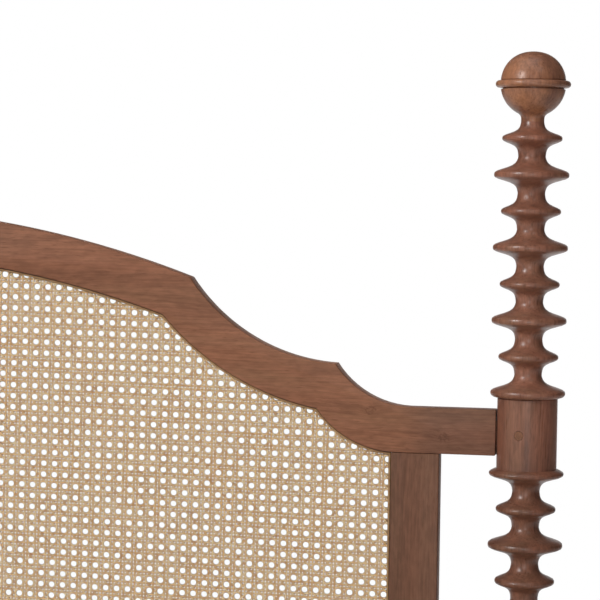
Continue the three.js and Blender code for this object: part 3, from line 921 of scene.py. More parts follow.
def makeLowerPosts():
    base = raised(footOutline, footBase)
    foot = base + ringStack(footLastRing, turning["footRings"], False, seatedAbove=True)
    footPart = lathe("footPart", foot, turning["steps"])
    middle = ringStack(lowerBlockTop + turning["ringSeat"], turning["middleRings"], True, True, True)
    middlePart = lathe("middlePart", middle, turning["steps"])
    for corner in corners:
        parts = [
            copied(footPart, "foot"),
            cutBlock("lowerBlock", lowerBlockBottom, lowerBlockTop, lowerCutters(corner)),
            copied(middlePart, "middle"),
            cutBlock("upperBlock", upperBlockBottom, upperBlockTop, upperCutters(corner), False),
        ]
        post = joined(corner["name"] + "_post", parts)
        tidyMesh(post)
        post.location = cornerPlace(corner)
        finishPiece(post, "postWood", [corner["name"] + "_post_lower"])
    remove(footPart)
    remove(middlePart)


def makeUpperPosts():
    spigot, length, ease = turning["spigot"], turning["spigotLength"], turning["spigotEase"]
    base, block, seam = upperPostLow.z + length, turning["blockRadius"], turning["seam"]
    profile = [(0, base - length), (spigot - ease, base - length), (spigot, base - length + ease),
               (spigot, base), (block - seam, base), (block, base + seam)]
    rings = ringStack(upperFirstRing, turning["upperRings"], True, True)
    last = flank(turning["smallRim"], finial["neck"], turning["topUpper"], finialJoint - upperLastRing, 1)
    profile += rings[1:-turning["flankSteps"]] + raised(last[1:], upperLastRing)
    socket, floor = finial["spigot"] + fit, finialJoint - finial["spigotLength"] - fit
    profile += [(socket, finialJoint), (socket, floor), (0, floor)]
    copyToCorners(lathe("upperPost", profile, turning["steps"]), "_upper_post", "postWood", "_post_upper")


finial = {
    "radius": 0.0353,
    "neck": 0.0125,
    "neckLine": [(0, 0.0030), (0.0003, 0.0052), (0.0012, 0.0069)],     # out from the neck, up from the joint
    "neckMeet": 0.0030,      # out from the neck, where the ball begins
    "bandRim": 0.0405,
    "bandHalf": 0.0040,
    "bandArc": 80,           # degrees up and down that the band's round reaches
    "bandPower": 0.6,
    "spigot": 0.005,
    "spigotLength": 0.016,
    "rise": 0.0583,          # ball centre above the last ring
    "upperPower": 2.15,      # the upper half is a little squarer than round
    "groove": 0.0007,
    "slit": (0.0016, 0.0026),    # height and depth of the cut under the band
    "steps": (12, 10, 17),   # under the band, on it and above it
}


def makeFinials():
    ball, neck, middle = finial["radius"], finial["neck"], upperLastRing + finial["rise"]
    joint, band, groove = finialJoint, finial["bandHalf"], finial["groove"]
    slit, slitDepth = finial["slit"]
    lowerSteps, bandSteps, upperSteps = finial["steps"]
    spigot, foot = finial["spigot"], joint - finial["spigotLength"]
    profile = [(0, foot), (spigot, foot), (spigot, joint), (neck, joint)]
    profile += [(neck + out, joint + rise) for out, rise in finial["neckLine"]]
    start, stop = -math.acos((neck + finial["neckMeet"]) / ball), -math.asin((band + slit) / ball)
    for angle in spread(start, stop, lowerSteps):
        profile.append((ball * math.cos(angle), middle + ball * math.sin(angle)))
    profile += [(ball - slitDepth, middle - band - slit / 2), (ball - slitDepth, middle - band)]
    for angle in map(math.radians, spread(-finial["bandArc"], finial["bandArc"], bandSteps)):
        out = ball - groove + (finial["bandRim"] - ball + groove) * math.cos(angle) ** finial["bandPower"]
        profile.append((out, middle + band * math.sin(angle)))
    profile.append((ball - 2 * groove, middle + band))
    power = finial["upperPower"]
    for angle in spread(math.asin((band + groove) / ball), math.pi / 2, upperSteps):
        rise = math.sin(angle)
        profile.append((ball * max(1 - rise ** power, 0) ** (1 / power), middle + ball * rise))
    copyToCorners(lathe("ball", profile, turning["steps"]), "_ball_finial", "ballWood", "_finial")


makeLowerPosts()
print("lower posts made")
makeUpperPosts()
makeFinials()
print("upper posts and finials made")


# Crest rail. Places on its outline are read from the photograph at true size, in from the
# post's axis and up from the rail's centre line.
crestShape = {
    "archTop": 0.2334,
    "archUnder": 0.1828,
    "topCorner": (0.3765, 0.1615),
    "topStep": (0.2107, 0.0703),
    "topEnd": 0.128,
    "topRadii": (0.211, 0.102),
    "underCorner": (0.4075, 0.1196),
    "underStep": (0.2315, 0.0204),
    "underRadii": (0.304, 0.111),
    "steps": (44, 24, 12),
    "shoulderEase": 0.0016,
}
stiles = {
    "tenon": (0.033, 0.010),
    "tenonLength": 0.022,
    "ease": 0.0010,
    "panelTenonHeight": 0.060,
    "panelTenonLength": 0.026,
}
stileLow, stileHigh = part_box("headboard_right_stile")
panelRailLow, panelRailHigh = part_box("headboard_panel_rail")
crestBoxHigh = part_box("headboard_crest_rail")[1]
crestUnderside = crestLine - crestSetup["railHeight"] / 2
crestShoulder = crestBoxHigh.x - crestSetup["tenonLength"]


# Points from one place to the next on an arc that bends left (1) or right (-1), without the first
def arc(start, end, radius, bend, steps):
    across, up = end[0] - start[0], end[1] - start[1]
    chord = math.hypot(across, up)
    rise = math.sqrt(radius ** 2 - (chord / 2) ** 2)
    middleX = (start[0] + end[0]) / 2 + bend * up * rise / chord
    middleZ = (start[1] + end[1]) / 2 - bend * across * rise / chord
    first = math.atan2(start[1] - middleZ, start[0] - middleX)
    sweep = -bend * 2 * math.asin(chord / 2 / radius)
    angles = [first + sweep * (i + 1) / steps for i in range(steps)]
    return [(middleX + radius * math.cos(angle), middleZ + radius * math.sin(angle)) for angle in angles]


# Half an outline from the bed's middle outwards: the arch, a sweep and a step
def halfOutline(top, corner, step, end, radii):
    corner, step = [(postX - inward, crestLine + rise) for inward, rise in (corner, step)]
    rise = crestLine + top - corner[1]
    archRadius = (corner[0] ** 2 + rise ** 2) / (2 * rise)
    start, steps = (0, crestLine + top), crestShape["steps"]
    return [start, *arc(start, corner, archRadius, 1, steps[0]),
            *arc(corner, step, radii[0], -1, steps[1]), *arc(step, end, radii[1], -1, steps[2])]


def mirroredRun(points):
    return [(-x, z) for x, z in points[:0:-1]]


# Moves a closed outline inwards. It runs anticlockwise in X and Z.
def inset(outline, distance):
    moved = []
    for i, point in enumerate(outline):
        before, after = outline[i - 1], outline[(i + 1) % len(outline)]
        first = Vector((point[0] - before[0], point[1] - before[1])).normalized()
        second = Vector((after[0] - point[0], after[1] - point[1])).normalized()
        inward = Vector((-first.y - second.y, first.x + second.x)).normalized()
        reach = distance / (inward.x * -first.y + inward.y * first.x)
        moved.append((point[0] + inward.x * reach, point[1] + inward.y * reach))
    return moved


topHalf = halfOutline(crestShape["archTop"], crestShape["topCorner"], crestShape["topStep"],
                      (postX - crestShape["topEnd"], crestLine + crestSetup["railHeight"] / 2),
                      crestShape["topRadii"])
openingSide = (stileLow.x, crestUnderside)
underHalf = halfOutline(crestShape["archUnder"], crestShape["underCorner"], crestShape["underStep"],
                        openingSide, crestShape["underRadii"])
opening = [(-openingSide[0], panelRailHigh.z), (openingSide[0], panelRailHigh.z),
           *underHalf[::-1], *mirroredRun(underHalf)[::-1]]


# A drawn outline made thick about the headboard's middle plane
def thickOutline(name, outline, front, back):
    piece = drawLine(name, [(x, front, z) for x, z in outline], closed=True)
    startEdit(piece, everything=True)
    extrude((0, back - front, 0))
    endEdit()
    tidyMesh(piece)
    return piece


def stileMortise(side, low, high):
    middle = side * (stileLow.x + stileHigh.x) / 2
    wide, deep = stiles["tenon"][0] / 2 + fit, stiles["tenon"][1] / 2 + fit
    return cube("mortise", (middle - wide, postY - deep, low), (middle + wide, postY + deep, high))


def pegHoleAt(side):
    pegX, far = side * (postX - crestSetup["pegIn"]), turning["cutReach"]
    start, end = (pegX, postY - far, crestLine), (pegX, postY + far, crestLine)
    return rod("pegHole", crestSetup["pegRadius"] + fit, start, end)


def makeCrest():
    half = crestSetup["thickness"] / 2
    front, back = postY - half, postY + half
    topEnd = (crestShoulder, crestLine + crestSetup["railHeight"] / 2)
    underEnd = (crestShoulder, crestUnderside)
    right = [*underHalf, underEnd, topEnd, *topHalf[:0:-1]]
    outline = [*right, topHalf[0], *mirroredRun(right)]
    crest = thickOutline("crest_rail", outline, front, back)

    def shoulderCorner(first, second):
        atEnd = all(abs(abs(point.x) - crestShoulder) < near for point in (first, second))
        return atEnd and abs(first.z - second.z) < near
    easeEdges(crest, crestShape["shoulderEase"], 3, shoulderCorner)

    def onFace(first, second):
        return any(abs(first.y - face) < near and abs(second.y - face) < near for face in (front, back))
    easeEdges(crest, crestSetup["ease"], 3, onFace)
    sizes = (1, crestSetup["tenonThickness"], crestSetup["tenonHeight"])
    growTenons(crest, sizes, crestSetup["tenonLength"])
    deep = crestUnderside + stiles["tenonLength"] + fit
    cutAway(crest, [stileMortise(side, crestUnderside - over, deep) for side in (-1, 1)])
    cutAway(crest, [pegHoleAt(side) for side in (-1, 1)])
    finishPiece(crest, "crestWood", ["headboard_crest_rail"], angle=28)


# Wooden pegs through the crest's tenons, trimmed to the round of the block
def makePegs():
    front, radius = postY - turning["blockRadius"], turning["blockRadius"] + crestSetup["pegProud"]
    for side, name in ((-1, "head_left"), (1, "head_right")):
        pegX = side * (postX - crestSetup["pegIn"])
        start = (pegX, front - crestSetup["pegTrim"], crestLine)
        end = (pegX, front + crestSetup["pegLength"], crestLine)
        peg = rod(name + "_peg", crestSetup["pegRadius"], start, end)
        low, high = (side * postX, postY, crestLine - over), (side * postX, postY, crestLine + over)
        combine(peg, rod("drum", radius, low, high, crestSetup["trimSides"]), "INTERSECT")
        easeEnds(peg, crestSetup["pegEase"], (0, 1, 0))
        finishPiece(peg, "sideWood", [name + "_crest_peg"])


makeCrest()
makePegs()
print("crest rail made")


# Sawn boards with eased edges, tenons and cuts
def board(name, low, high, ease, segments=3):
    piece = cube(name, low, high)
    easeEdges(piece, ease, segments)
    return piece


def makeSideRails():
    radius, pocketRadius = boltSetup["radius"] + fit, boltSetup["nutRadius"] + fit
    for side, name in ((-1, "left"), (1, "right")):
        rail = board(name + "_rail", *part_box(name + "_side_rail"), rails["ease"])
        axisX, cutters = side * postX, []
        start = axisX + side * (boltSetup["nutLength"] / 2 + fit)
        end = axisX - side * boltSetup["pocketReach"]
        for sideY in (-1, 1):
            reach = sideY * (boltStart - boltLength - fit)
            nutY = sideY * nutLine
            cutters += [
                rod("boltHole", radius, (axisX, sideY * boltStart, railLine), (axisX, reach, railLine)),
                rod("nutPocket", pocketRadius, (start, nutY, railLine), (end, nutY, railLine), fineSides),
            ]
        cutAway(rail, cutters)
        finishPiece(rail, "sideWood", [name + "_side_rail"])


def makeCrossRails():
    sizes = (1, rails["tenonThickness"], rails["tenonHeight"])
    shift = Vector((rails["tenonLength"], 0, 0))
    for name in ("head_rail", "foot_rail"):
        low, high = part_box(name)
        rail = board(name + "_board", low + shift, high - shift, rails["ease"])
        growTenons(rail, sizes, rails["tenonLength"])
        if name == "head_rail":
            deep = high.z - stiles["tenonLength"] - fit
            cutAway(rail, [stileMortise(side, deep, high.z + over) for side in (-1, 1)])
        finishPiece(rail, "crossWood", [name])


def makeStiles():
    width, thickness = stiles["tenon"]
    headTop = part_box("head_rail")[1].z
    middle = (panelRailLow.z + panelRailHigh.z) / 2
    tall, deep = stiles["panelTenonHeight"] / 2 + fit, thickness / 2 + fit
    for side, name in ((-1, "headboard_left_stile"), (1, "headboard_right_stile")):
        low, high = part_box(name)
        bodyLow = Vector((low.x, low.y, headTop + fit))
        bodyHigh = Vector((high.x, high.y, crestUnderside - fit))
        stile = board(name + "_board", bodyLow, bodyHigh, stiles["ease"])
        growTenon(stile, (0, 0, 1), (width, thickness, 1), high.z - bodyHigh.z)
        growTenon(stile, (0, 0, -1), (width, thickness, 1), bodyLow.z - low.z)
        start, end = side * (stileLow.x - over), side * (stileLow.x + stiles["panelTenonLength"] + fit)
        mortise = cube("mortise", (start, postY - deep, middle - tall), (end, postY + deep, middle + tall))
        cutAway(stile, [mortise])
        finishPiece(stile, "stileWood", [name])


def makePanelRail():
    sizes = (1, stiles["tenon"][1], stiles["panelTenonHeight"])
    inward = Vector((panelRailHigh.x - stileLow.x + fit, 0, 0))
    rail = board("panel_rail", panelRailLow + inward, panelRailHigh - inward, stiles["ease"])
    growTenons(rail, sizes, stiles["panelTenonLength"] + fit)
    finishPiece(rail, "crossWood", ["headboard_panel_rail"])


makeSideRails()
makeCrossRails()
makeStiles()
makePanelRail()
print("rails and stiles made")


# Woven cane. The six-way pattern is laid out flat, seen from the front, and then stood upright.
weave = {
    "across": 0.0127,        # pitch between holes
    "up": 0.01247,
    "turn": -0.89,           # degrees that the web lies out of level
    "hole": (0.4160, 1.0329),    # a hole's centre, which starts the pattern
    "pairHalf": 0.00195,     # half the distance between the two strands of a pair
    "strandWidth": 0.00238,
    "strandRidge": 0.0008,
    "lift": 0.00042,         # how far a level or upright strand rises and dips
    "diagonalLift": 0.0009,
    "flat": 0.28,            # share of a half step that a diagonal runs flat over a pair
    "under": 0.0010,         # strands end this far inside the opening's edge
    "endRoom": 0.0008,       # no bend lies closer than this to a strand's end
    "reach": 1.4,            # lines are tried this far out from where they start
    "halvings": 14,          # times that a strand's end is narrowed down
    "upright": 96,           # pairs on each side of the first hole
    "level": 72,
    "rising": (-150, 110),   # diagonals, counted from the first hole
    "falling": (-190, 90),
}


def lattice(a, b):
    turn = math.radians(weave["turn"])
    x = weave["hole"][0] + math.cos(turn) * a - math.sin(turn) * b
    z = weave["hole"][1] + math.sin(turn) * a + math.cos(turn) * b
    return x, z


webEdge = [point for point in inset(opening, weave["under"]) if point[0] >= 0]
webFloor = min(z for x, z in webEdge)
webTop = sorted(point for point in webEdge if point[1] > webFloor + over)


def inWeb(x, z):
    reach = abs(x)
    if reach > webTop[-1][0] or z < webFloor:
        return False
    for before, after in zip(webTop, webTop[1:]):
        if reach <= after[0]:
            share = (reach - before[0]) / (after[0] - before[0])
            return z < before[1] + (after[1] - before[1]) * share
    return False


# Where a straight strand runs inside the opening, as lengths along it
def insideRuns(start, way, reach):
    def within(length):
        return inWeb(*lattice(start[0] + way[0] * length, start[1] + way[1] * length))

    def crossing(first, second):
        for i in range(weave["halvings"]):
            middle = (first + second) / 2
            first, second = (middle, second) if within(middle) == within(first) else (first, middle)
        return (first + second) / 2
    step = weave["across"] / 2
    count = round(2 * reach / step)
    marks = [-reach + i * step for i in range(count + 1)]
    edges = [crossing(a, b) for a, b in zip(marks, marks[1:]) if within(a) != within(b)]
    return [(a, b) for a, b in zip(edges[::2], edges[1::2]) if b - a > step / 3]


# One family of strands: start places, the way they run, and their bends with the rise at each
def strandFamily(name, starts, way, bends):
    curve = bpy.data.curves.new(name, "CURVE")
    curve.dimensions = "3D"
    curve.twist_mode = "Z_UP"
    room = weave["endRoom"]
    for start in starts:
        for low, high in insideRuns(start, way, weave["reach"]):
            inner = [(s, rise) for s, rise in bends(start, low, high) if low + room < s < high - room]
            if len(inner) < 2:
                continue
            points = [(low, inner[0][1]), *inner, (high, inner[-1][1])]
            spline = curve.splines.new("POLY")
            spline.points.add(len(points) - 1)
            for target, (s, rise) in zip(spline.points, points):
                x, z = lattice(start[0] + way[0] * s, start[1] + way[1] * s)
                target.co = (x, z, rise, 1)
    curveToPiece(f"cane_{name}_strands", curve, "cane" + name.capitalize())


def strandSection():
    half, ridge = weave["strandWidth"] / 2, weave["strandRidge"]
    section = bpy.data.curves.new("section", "CURVE")
    spline = section.splines.new("POLY")
    spline.points.add(2)
    for target, place in zip(spline.points, ((-half, -ridge / 2), (half, -ridge / 2), (0, ridge / 2))):
        target.co = (*place, 0, 1)
    spline.use_cyclic_u = True
    piece = bpy.data.objects.new("section", section)
    bpy.context.collection.objects.link(piece)
    return piece


def curveToPiece(name, curve, lookName):
    section = strandSection()
    curve.bevel_mode = "OBJECT"
    curve.bevel_object = section
    curve.use_fill_caps = True
    piece = bpy.data.objects.new(name, curve)
    bpy.context.collection.objects.link(piece)
    pick(piece)
    bpy.ops.object.convert(target="MESH")
    bpy.ops.transform.rotate(value=-math.pi / 2, orient_axis="X", center_override=(0, 0, 0))
    bpy.ops.transform.translate(value=(0, webMiddle, 0))
    remove(section)
    tidyMesh(piece, near / 10)
    finishPiece(piece, lookName, ["cane_panel"], angle=80)
    print(name, "faces", len(piece.data.polygons), "box", [round(value, 3) for value in piece.dimensions])


# Level and upright strands pass over and under each other in the two pairs of each crossing
def makePairs():
    across, up, half, lift = weave["across"], weave["up"], weave["pairHalf"], weave["lift"]

    def lines(count, pitch):
        return [(i + 0.5) * pitch + side * half for i in range(-count, count) for side in (-1, 1)]

    # A line is the upper (1) or lower (-1) strand of its pair
    def sideOf(line, pitch):
        return 1 if (line / pitch) % 1 > 0.5 else -1

    def bendsFor(pitch, ownPitch, own, sign):
        def bends(start, low, high):
            rise = sign * lift * sideOf(start[own], ownPitch)
            steps = range(math.floor(low / pitch) - 1, math.ceil(high / pitch) + 1)
            return [((i + 0.5) * pitch + other * half, rise * other) for i in steps for other in (-1, 1)]
        return bends
    uprights = [(line, 0) for line in lines(weave["upright"], across)]
    strandFamily("upright", uprights, (0, 1), bendsFor(up, across, 0, 1))
    levels = [(0, line) for line in lines(weave["level"], up)]
    strandFamily("level", levels, (1, 0), bendsFor(across, up, 1, -1))


# Diagonals cross the pairs midway between holes, over one kind and under the other
def makeDiagonals():
    across, up, lift, flat = weave["across"], weave["up"], weave["diagonalLift"], weave["flat"]
    length = math.hypot(across, up)

    def bendsFor(sign):
        def bends(start, low, high):
            steps = range(math.floor(2 * low / length) - 1, math.ceil(2 * high / length) + 1)
            return [(i * length / 2 + other * flat * length / 4, sign * (1 - 2 * (i % 2)) * lift)
                    for i in steps for other in (-1, 1)]
        return bends
    for name, lean in (("rising", 1), ("falling", -1)):
        starts = [((i + 0.5) * across, 0) for i in range(*weave[name])]
        strandFamily(name, starts, (lean * across / length, up / length), bendsFor(lean))


makePairs()
makeDiagonals()
print("cane woven")


# Reed round the edge of the web: a bead on a wider bed, so that a groove is left at the frame
reedSetup = {
    "width": 0.0032,
    "groove": 0.0008,
    "bed": 0.0009,
    "thickness": 0.0025,
    "round": 0.0009,
    "back": 0.0043,
}


def ringRound(name, start, width, back, front):
    ring = drawLine(name, [(x, back, z) for x, z in inset(opening, start)], closed=True)
    startEdit(ring, "FACE", everything=True)
    bpy.ops.mesh.inset(thickness=width, depth=0)
    bpy.ops.mesh.delete(type="FACE")
    bpy.ops.mesh.select_all(action="SELECT")
    extrude((0, front - back, 0))
    endEdit()
    tidyMesh(ring)
    return ring


def makeReed():
    groove, bed = reedSetup["groove"], reedSetup["bed"]
    back = postY - reedSetup["back"]
    front = back - reedSetup["thickness"]
    reed = ringRound("cane_reed", fit, reedSetup["width"], back, back - bed)
    bead = ringRound("bead", fit + groove, reedSetup["width"] - groove - fit, back - bed / 2, front)
    easeEdges(bead, reedSetup["round"], 3, lambda first, second: max(first.y, second.y) < front + near)
    reed = joined("cane_reed", [reed, bead])
    finishPiece(reed, "caneReed", ["cane_spline"], angle=60)
    print("reed faces", len(reed.data.polygons))


makeReed()


# Slats, ledgers, tapes and the centre beam
softwood = {"slatEase": 0.0035, "ledgerEase": 0.002, "beamEase": 0.003, "legEase": 0.003}
slatNames = [f"slat_{i + 1:02d}" for i in range(12)]
ledgerScrews = {"count": 8, "fromEnd": 0.08, "stagger": 0.006}
screwSetup = {
    "outline": [(0, -0.0004), (0.0042, -0.0004), (0.0042, 0.0002), (0.003612, 0.00088),
                (0.00231, 0.001376), (0, 0.0016)],
    "steps": 16,
    "slotWidth": 0.0011,
    "slotDepth": 0.0010,
}


def makeSlats():
    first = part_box(slatNames[0])
    slat = board("slat", *first, softwood["slatEase"])
    for name in slatNames:
        low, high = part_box(name)
        piece = copied(slat, name + "_board", (low + high) / 2 - (first[0] + first[1]) / 2)
        finishPiece(piece, "slatWood", [name])
    remove(slat)


# A domed screw head with one slot, on the origin and looking along +Z
def screwHead():
    head = lathe("screwHead", screwSetup["outline"], screwSetup["steps"])
    wide, floor = screwSetup["slotWidth"] / 2, screwSetup["outline"][-1][1] - screwSetup["slotDepth"]
    cutAway(head, [cube("slot", (-over, -wide, floor), (over, wide, over))])
    return head


# Copies of the screw head at places in one plane, joined to one piece
def screwRow(name, places, way):
    head = screwHead()
    turn = Vector(way).to_track_quat("Z", "Y").to_euler()
    heads = []
    for i, place in enumerate(places):
        copy = copied(head, f"{name}_{i + 1}")
        copy.rotation_euler = turn
        copy.location = place
        settle(copy)
        heads.append(copy)
    remove(head)
    finishPiece(joined(name, heads), "zincSteel")


def makeLedgers():
    for side, name in ((-1, "left"), (1, "right")):
        low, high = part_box(name + "_slat_ledger")
        ledger = board(name + "_ledger", low, high, softwood["ledgerEase"], 2)
        finishPiece(ledger, "beamWood", [name + "_slat_ledger"])
        inner = low.x if side > 0 else high.x
        span, middle = high.y - ledgerScrews["fromEnd"], (low.z + high.z) / 2
        row = spread(-span, span, ledgerScrews["count"] - 1)
        places = [(inner, y, middle + (-1) ** i * ledgerScrews["stagger"]) for i, y in enumerate(row)]
        screwRow(name + "_ledger_screws", places, (-side, 0, 0))


tapeSetup = {"edge": 0.0004, "stapleWidth": 0.010, "stapleWire": 0.0006, "stapleShares": (0.3, 0.7)}


def makeTapes():
    half, wire = tapeSetup["stapleWidth"] / 2, tapeSetup["stapleWire"]
    for name in ("left", "right"):
        low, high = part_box(name + "_slat_tape")
        tape = cube(name + "_tape", low, high)
        easeEdges(tape, tapeSetup["edge"], 2, lambda first, second: abs(first.y - second.y) > over)
        finishPiece(tape, "tape", [name + "_slat_tape"])
        middle, staples = (low.x + high.x) / 2, []
        for slatLow, slatHigh in map(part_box, slatNames):
            for share in tapeSetup["stapleShares"]:
                y = slatLow.y + (slatHigh.y - slatLow.y) * share
                start, end = (middle - half, y - wire, low.z - wire), (middle + half, y + wire, low.z + wire)
                staples.append(board("staple", start, end, wire / 2, 1))
        finishPiece(joined(name + "_tape_staples", staples), "zincSteel")


legSetup = {
    "spigot": 0.010,
    "spigotLap": 0.004,
    "spigotEase": 0.001,
    "bore": 0.0049,
    "insert": 0.0075,
    "insertDepth": 0.0012,
    "insertEase": 0.0004,
}


def makeBeam():
    low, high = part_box("centre_beam")
    beam = board("centre_beam_board", low, high, softwood["beamEase"])
    holes = []
    for name in ("head_centre_leg", "foot_centre_leg"):
        legLow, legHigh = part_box(name)
        y, radius = (legLow.y + legHigh.y) / 2, legSetup["spigot"] + fit
        holes.append(rod("hole", radius, (0, y, low.z - over), (0, y, legHigh.z + fit), fineSides))
    cutAway(beam, holes)
    finishPiece(beam, "beamWood", ["centre_beam"])


def makeLegs():
    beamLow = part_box("centre_beam")[0].z
    wide, narrow, deep = legSetup["insert"], legSetup["bore"], legSetup["insertDepth"]
    ease = legSetup["insertEase"]
    ring = [(narrow, 0), (wide - ease, 0), (wide, ease), (wide, deep), (narrow, deep), (narrow, 0)]
    for end in ("head", "foot"):
        low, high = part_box(end + "_centre_leg")
        y, stemTop = ((low + high) / 2).y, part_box(end + "_leg_leveller")[1].z + fit
        leg = board(end + "_leg", low, (high.x, high.y, beamLow - fit), softwood["legEase"])
        start = (0, y, beamLow - legSetup["spigotLap"])
        spigot = rod("spigot", legSetup["spigot"], start, (0, y, high.z), fineSides)
        easeEnds(spigot, legSetup["spigotEase"], (0, 0, 1))
        combine(leg, spigot, "UNION")
        under = (0, y, low.z - over)
        cutAway(leg, [rod("bore", narrow, under, (0, y, stemTop)),
                      rod("recess", wide + fit, under, (0, y, low.z + deep))])
        finishPiece(leg, "legWood", [end + "_centre_leg"])
        insert = lathe(end + "_leg_insert", raised(ring, low.z))
        insert.location = (0, y, 0)
        finishPiece(insert, "zincSteel")


hangerSetup = {"plate": 0.003, "ease": 0.0006, "lap": 0.0005, "screwShares": (0.22, 0.78)}


def makeHangers():
    beamLow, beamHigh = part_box("centre_beam")
    plate, lap = hangerSetup["plate"], hangerSetup["lap"]
    halfOut = beamHigh.x + fit + plate
    for sideY, name in ((1, "head"), (-1, "foot")):
        low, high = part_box(name + "_beam_hanger")
        back, front = (high.y, low.y) if sideY > 0 else (low.y, high.y)
        inner = back - sideY * plate
        hanger = cube(name + "_hanger", (low.x, back, low.z), (high.x, inner, high.z))
        tray = cube("tray", (-halfOut, inner + sideY * lap, low.z), (halfOut, front - sideY * lap, high.z))
        combine(hanger, tray, "UNION")
        start = (beamLow.x - fit, inner, beamLow.z - fit)
        end = (beamHigh.x + fit, front - sideY * over, high.z + over)
        cutAway(hanger, [cube("room", start, end)])
        easeEdges(hanger, hangerSetup["ease"])
        finishPiece(hanger, "blackSteel", [name + "_beam_hanger"])
        across, tall = (halfOut + high.x) / 2, high.z - low.z
        places = [(side * across, inner, low.z + tall * share)
                  for side in (-1, 1) for share in hangerSetup["screwShares"]]
        screwRow(name + "_hanger_screws", places, (0, -sideY, 0))


makeSlats()
makeLedgers()
makeTapes()
makeBeam()
makeLegs()
makeHangers()
print("slats, beam and legs made")


# Bed bolts with socket heads and barrel nuts
threadSetup = {"pitch": 0.0016, "depth": 0.0005, "socket": 0.0035, "socketDepth": 0.0038}


def threadProfile(radius, low, high):
    count = int((high - low) / threadSetup["pitch"])
    step, root = (high - low) / count, radius - threadSetup["depth"]
    points = []
    for i in range(count):
        points += [(root, low + i * step), (radius, low + (i + 0.5) * step)]
    return points + [(root, high)]


def makeBolts():
    radius, head, tall = boltSetup["radius"], boltSetup["head"], boltSetup["headHeight"]
    rim, under, tip = boltSetup["rim"], boltSetup["under"], boltSetup["tip"]
    start = boltLength - boltSetup["thread"]
    profile = [(0, 0), (head - rim, 0), (head, rim), (head, tall - under), (head - under, tall),
               (radius, tall), (radius, start - tip), *threadProfile(radius, start, boltLength - tip),
               (0, boltLength)]
    bolt = lathe("bolt", profile)
    socket = rod("socket", threadSetup["socket"], (0, 0, -over), (0, 0, threadSetup["socketDepth"]), 6)
    cutAway(bolt, [socket])
    for corner in corners:
        piece = copied(bolt, corner["name"] + "_bolt")
        piece.rotation_euler = (corner["sideY"] * math.pi / 2, 0, 0)
        piece.location = (corner["sideX"] * postX, corner["sideY"] * boltStart, railLine)
        finishPiece(piece, "zincSteel", [corner["name"] + "_bed_bolt"])
    remove(bolt)


def makeNuts():
    radius, half = boltSetup["nutRadius"], boltSetup["nutLength"] / 2
    deep, wide = boltSetup["nutSlot"]
    for corner in corners:
        x, y, z = corner["sideX"] * postX, corner["sideY"] * nutLine, railLine
        nut = rod(corner["name"] + "_nut", radius, (x - half, y, z), (x + half, y, z), fineSides)
        easeEnds(nut, boltSetup["nutEase"], (1, 0, 0), (-1, 0, 0))
        hole = rod("hole", boltSetup["radius"] + fit, (x, y - 2 * over, z), (x, y + 2 * over, z))
        inner = x - corner["sideX"] * half
        slot = cube("slot", (inner - deep, y - over, z - wide), (inner + deep, y + over, z + wide))
        cutAway(nut, [hole, slot])
        finishPiece(nut, "zincSteel", [corner["name"] + "_barrel_nut"])


# Felt glides under the posts, and the screw-in levellers of the centre legs
glideSetup = {"radius": 0.017, "height": 0.005, "round": 0.0012, "bend": 0.3}
levellerSetup = {
    "disc": [(0, 0), (0.0138, 0), (0.015, 0.0012), (0.015, 0.0036), (0.0135, 0.0048),
             (0.0093, 0.00592), (0.0087, 0.008)],
    "stem": 0.0045,
    "stemLength": 0.034,
    "tip": 0.001,
}


def makeGlides():
    radius, height, soft = (glideSetup[name] for name in ("radius", "height", "round"))
    bend = soft * glideSetup["bend"]
    half = [(radius - soft, 0), (radius - bend, bend), (radius, soft)]
    profile = [(0, 0), *half, *[(out, height - up) for out, up in half[::-1]], (0, height)]
    copyToCorners(lathe("glide", profile, fineSides), "_felt_glide", "felt", "_glide")


def makeLevellers():
    disc, stem, tip = levellerSetup["disc"], levellerSetup["stem"], levellerSetup["tip"]
    height, top = disc[-1][1], disc[-1][1] + levellerSetup["stemLength"]
    profile = [*disc, (stem, height), *threadProfile(stem, height + tip, top - tip), (0, top)]
    leveller = lathe("leveller", profile)
    for end in ("head", "foot"):
        low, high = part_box(end + "_leg_leveller")
        piece = copied(leveller, end + "_leveller_foot", (0, (low.y + high.y) / 2, 0))
        finishPiece(piece, "blackSteel", [end + "_leg_leveller"], end + "_leveller")
    remove(leveller)


makeBolts()
makeNuts()
makeGlides()
makeLevellers()
print("fastenings, glides and levellers made")


# Stage and lights
stageSetup = {
    "size": 40,
    "sides": 96,
    "tone": 0.86,
    "fadeStart": 1.8,
    "fadeEnd": 4.4,
    "ambient": 0.05,
    "behind": (0.91, 1.0),   # how far a direction has to look to +Y to be behind the bed
}


# White at a strength of 1, for the camera, and for reflections of what lies behind the bed
def whiteBehind(tree, shader, share, surface, kind):
    path = addNode(tree, "LightPath").outputs
    direction = vectorMaths(tree, "NORMALIZE", addNode(tree, "NewGeometry").outputs["Position"])
    behind = ranged(tree, axisPart(tree, direction, "Y"), *stageSetup["behind"])
    glossy = maths(tree, "MULTIPLY", path["Is Glossy Ray"], behind)
    seen = maths(tree, "MAXIMUM", path["Is Camera Ray"], path["Is Transmission Ray"])
    factor = maths(tree, "MULTIPLY", maths(tree, "MAXIMUM", seen, glossy), share)
    white = addNode(tree, kind, {"Color": (1, 1, 1, 1), "Strength": 1}).outputs[0]
    blend = addNode(tree, "MixShader", {0: factor, 1: shader, 2: white})
    tree.links.new(blend.outputs[0], surface)


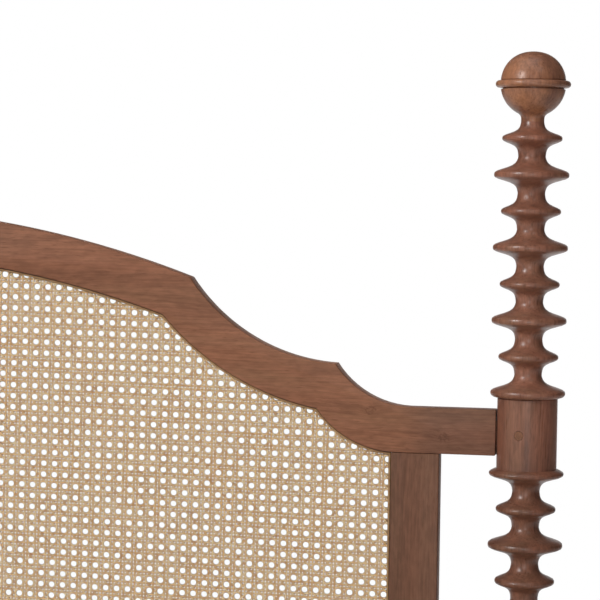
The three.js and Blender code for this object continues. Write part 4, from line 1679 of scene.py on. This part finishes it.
def makeStage():
    deselectAll()
    bpy.ops.mesh.primitive_circle_add(vertices=stageSetup["sides"], radius=stageSetup["size"] / 2,
                                      fill_type="NGON")
    floor = newest("studioFloor")
    look, tree, shader = newLook("studioWhite")
    tone = stageSetup["tone"]
    values = {"Base Color": (tone, tone, tone, 1), "Roughness": 0.9, "Specular IOR Level": 0.1}
    setInputs(tree, shader, values)
    away = vectorMaths(tree, "LENGTH", objectPlace(tree))
    share = ranged(tree, away, stageSetup["fadeStart"], stageSetup["fadeEnd"])
    output = tree.nodes["Material Output"].inputs["Surface"]
    whiteBehind(tree, shader.outputs[0], share, output, "Emission")
    floor.data.materials.append(look)

    world = bpy.data.worlds.new("studio") if bpy.context.scene.world is None else bpy.context.scene.world
    bpy.context.scene.world = world
    world.use_nodes = True
    tree = world.node_tree
    soft = addNode(tree, "Background", {"Color": (1, 1, 1, 1), "Strength": stageSetup["ambient"]}).outputs[0]
    whiteBehind(tree, soft, 1.0, tree.nodes["World Output"].inputs["Surface"], "Background")


lamps = [
    {"name": "keyLight", "place": (-5.87, -7.22, 6.10), "aim": (0.6, 1.06, 1.2), "size": 2.4, "power": 800},
    {"name": "frontLight", "place": (1.57, -5.84, 1.90), "aim": (0.5, 1.06, 1.2), "size": 1.25, "power": 70},
    {"name": "sideLight", "place": (4.25, -4.15, 7.50), "aim": (0.5, 1.06, 1.1), "size": 1.8, "power": 45},
    {"name": "topLight", "place": (0.0, 0.0, 4.2), "aim": (0, 0, 0.3), "size": 3.0, "power": 36},
    {"name": "backLight", "place": (-2.4, 6.8, 4.0), "aim": (0, 1.06, 0.8), "size": 2.4, "power": 190},
    {"name": "backSideLight", "place": (2.9, 5.6, 2.4), "aim": (0.5, 0, 0.4), "size": 1.6, "power": 60},
]


def makeLamps():
    for lamp in lamps:
        place = Vector(lamp["place"])
        turn = (Vector(lamp["aim"]) - place).to_track_quat("-Z", "Y").to_euler()
        bpy.ops.object.light_add(type="AREA", location=place, rotation=turn)
        light = newest(lamp["name"])
        light.data.shape = "SQUARE"
        light.data.size = lamp["size"]
        light.data.energy = lamp["power"]
        light.visible_camera = False
        # Lamps behind the bed don't show in reflections
        light.visible_glossy = place.y < cadHigh[1]


makeStage()
makeLamps()
bpy.context.scene.view_settings.view_transform = "Standard"
print("stage and lights ready")
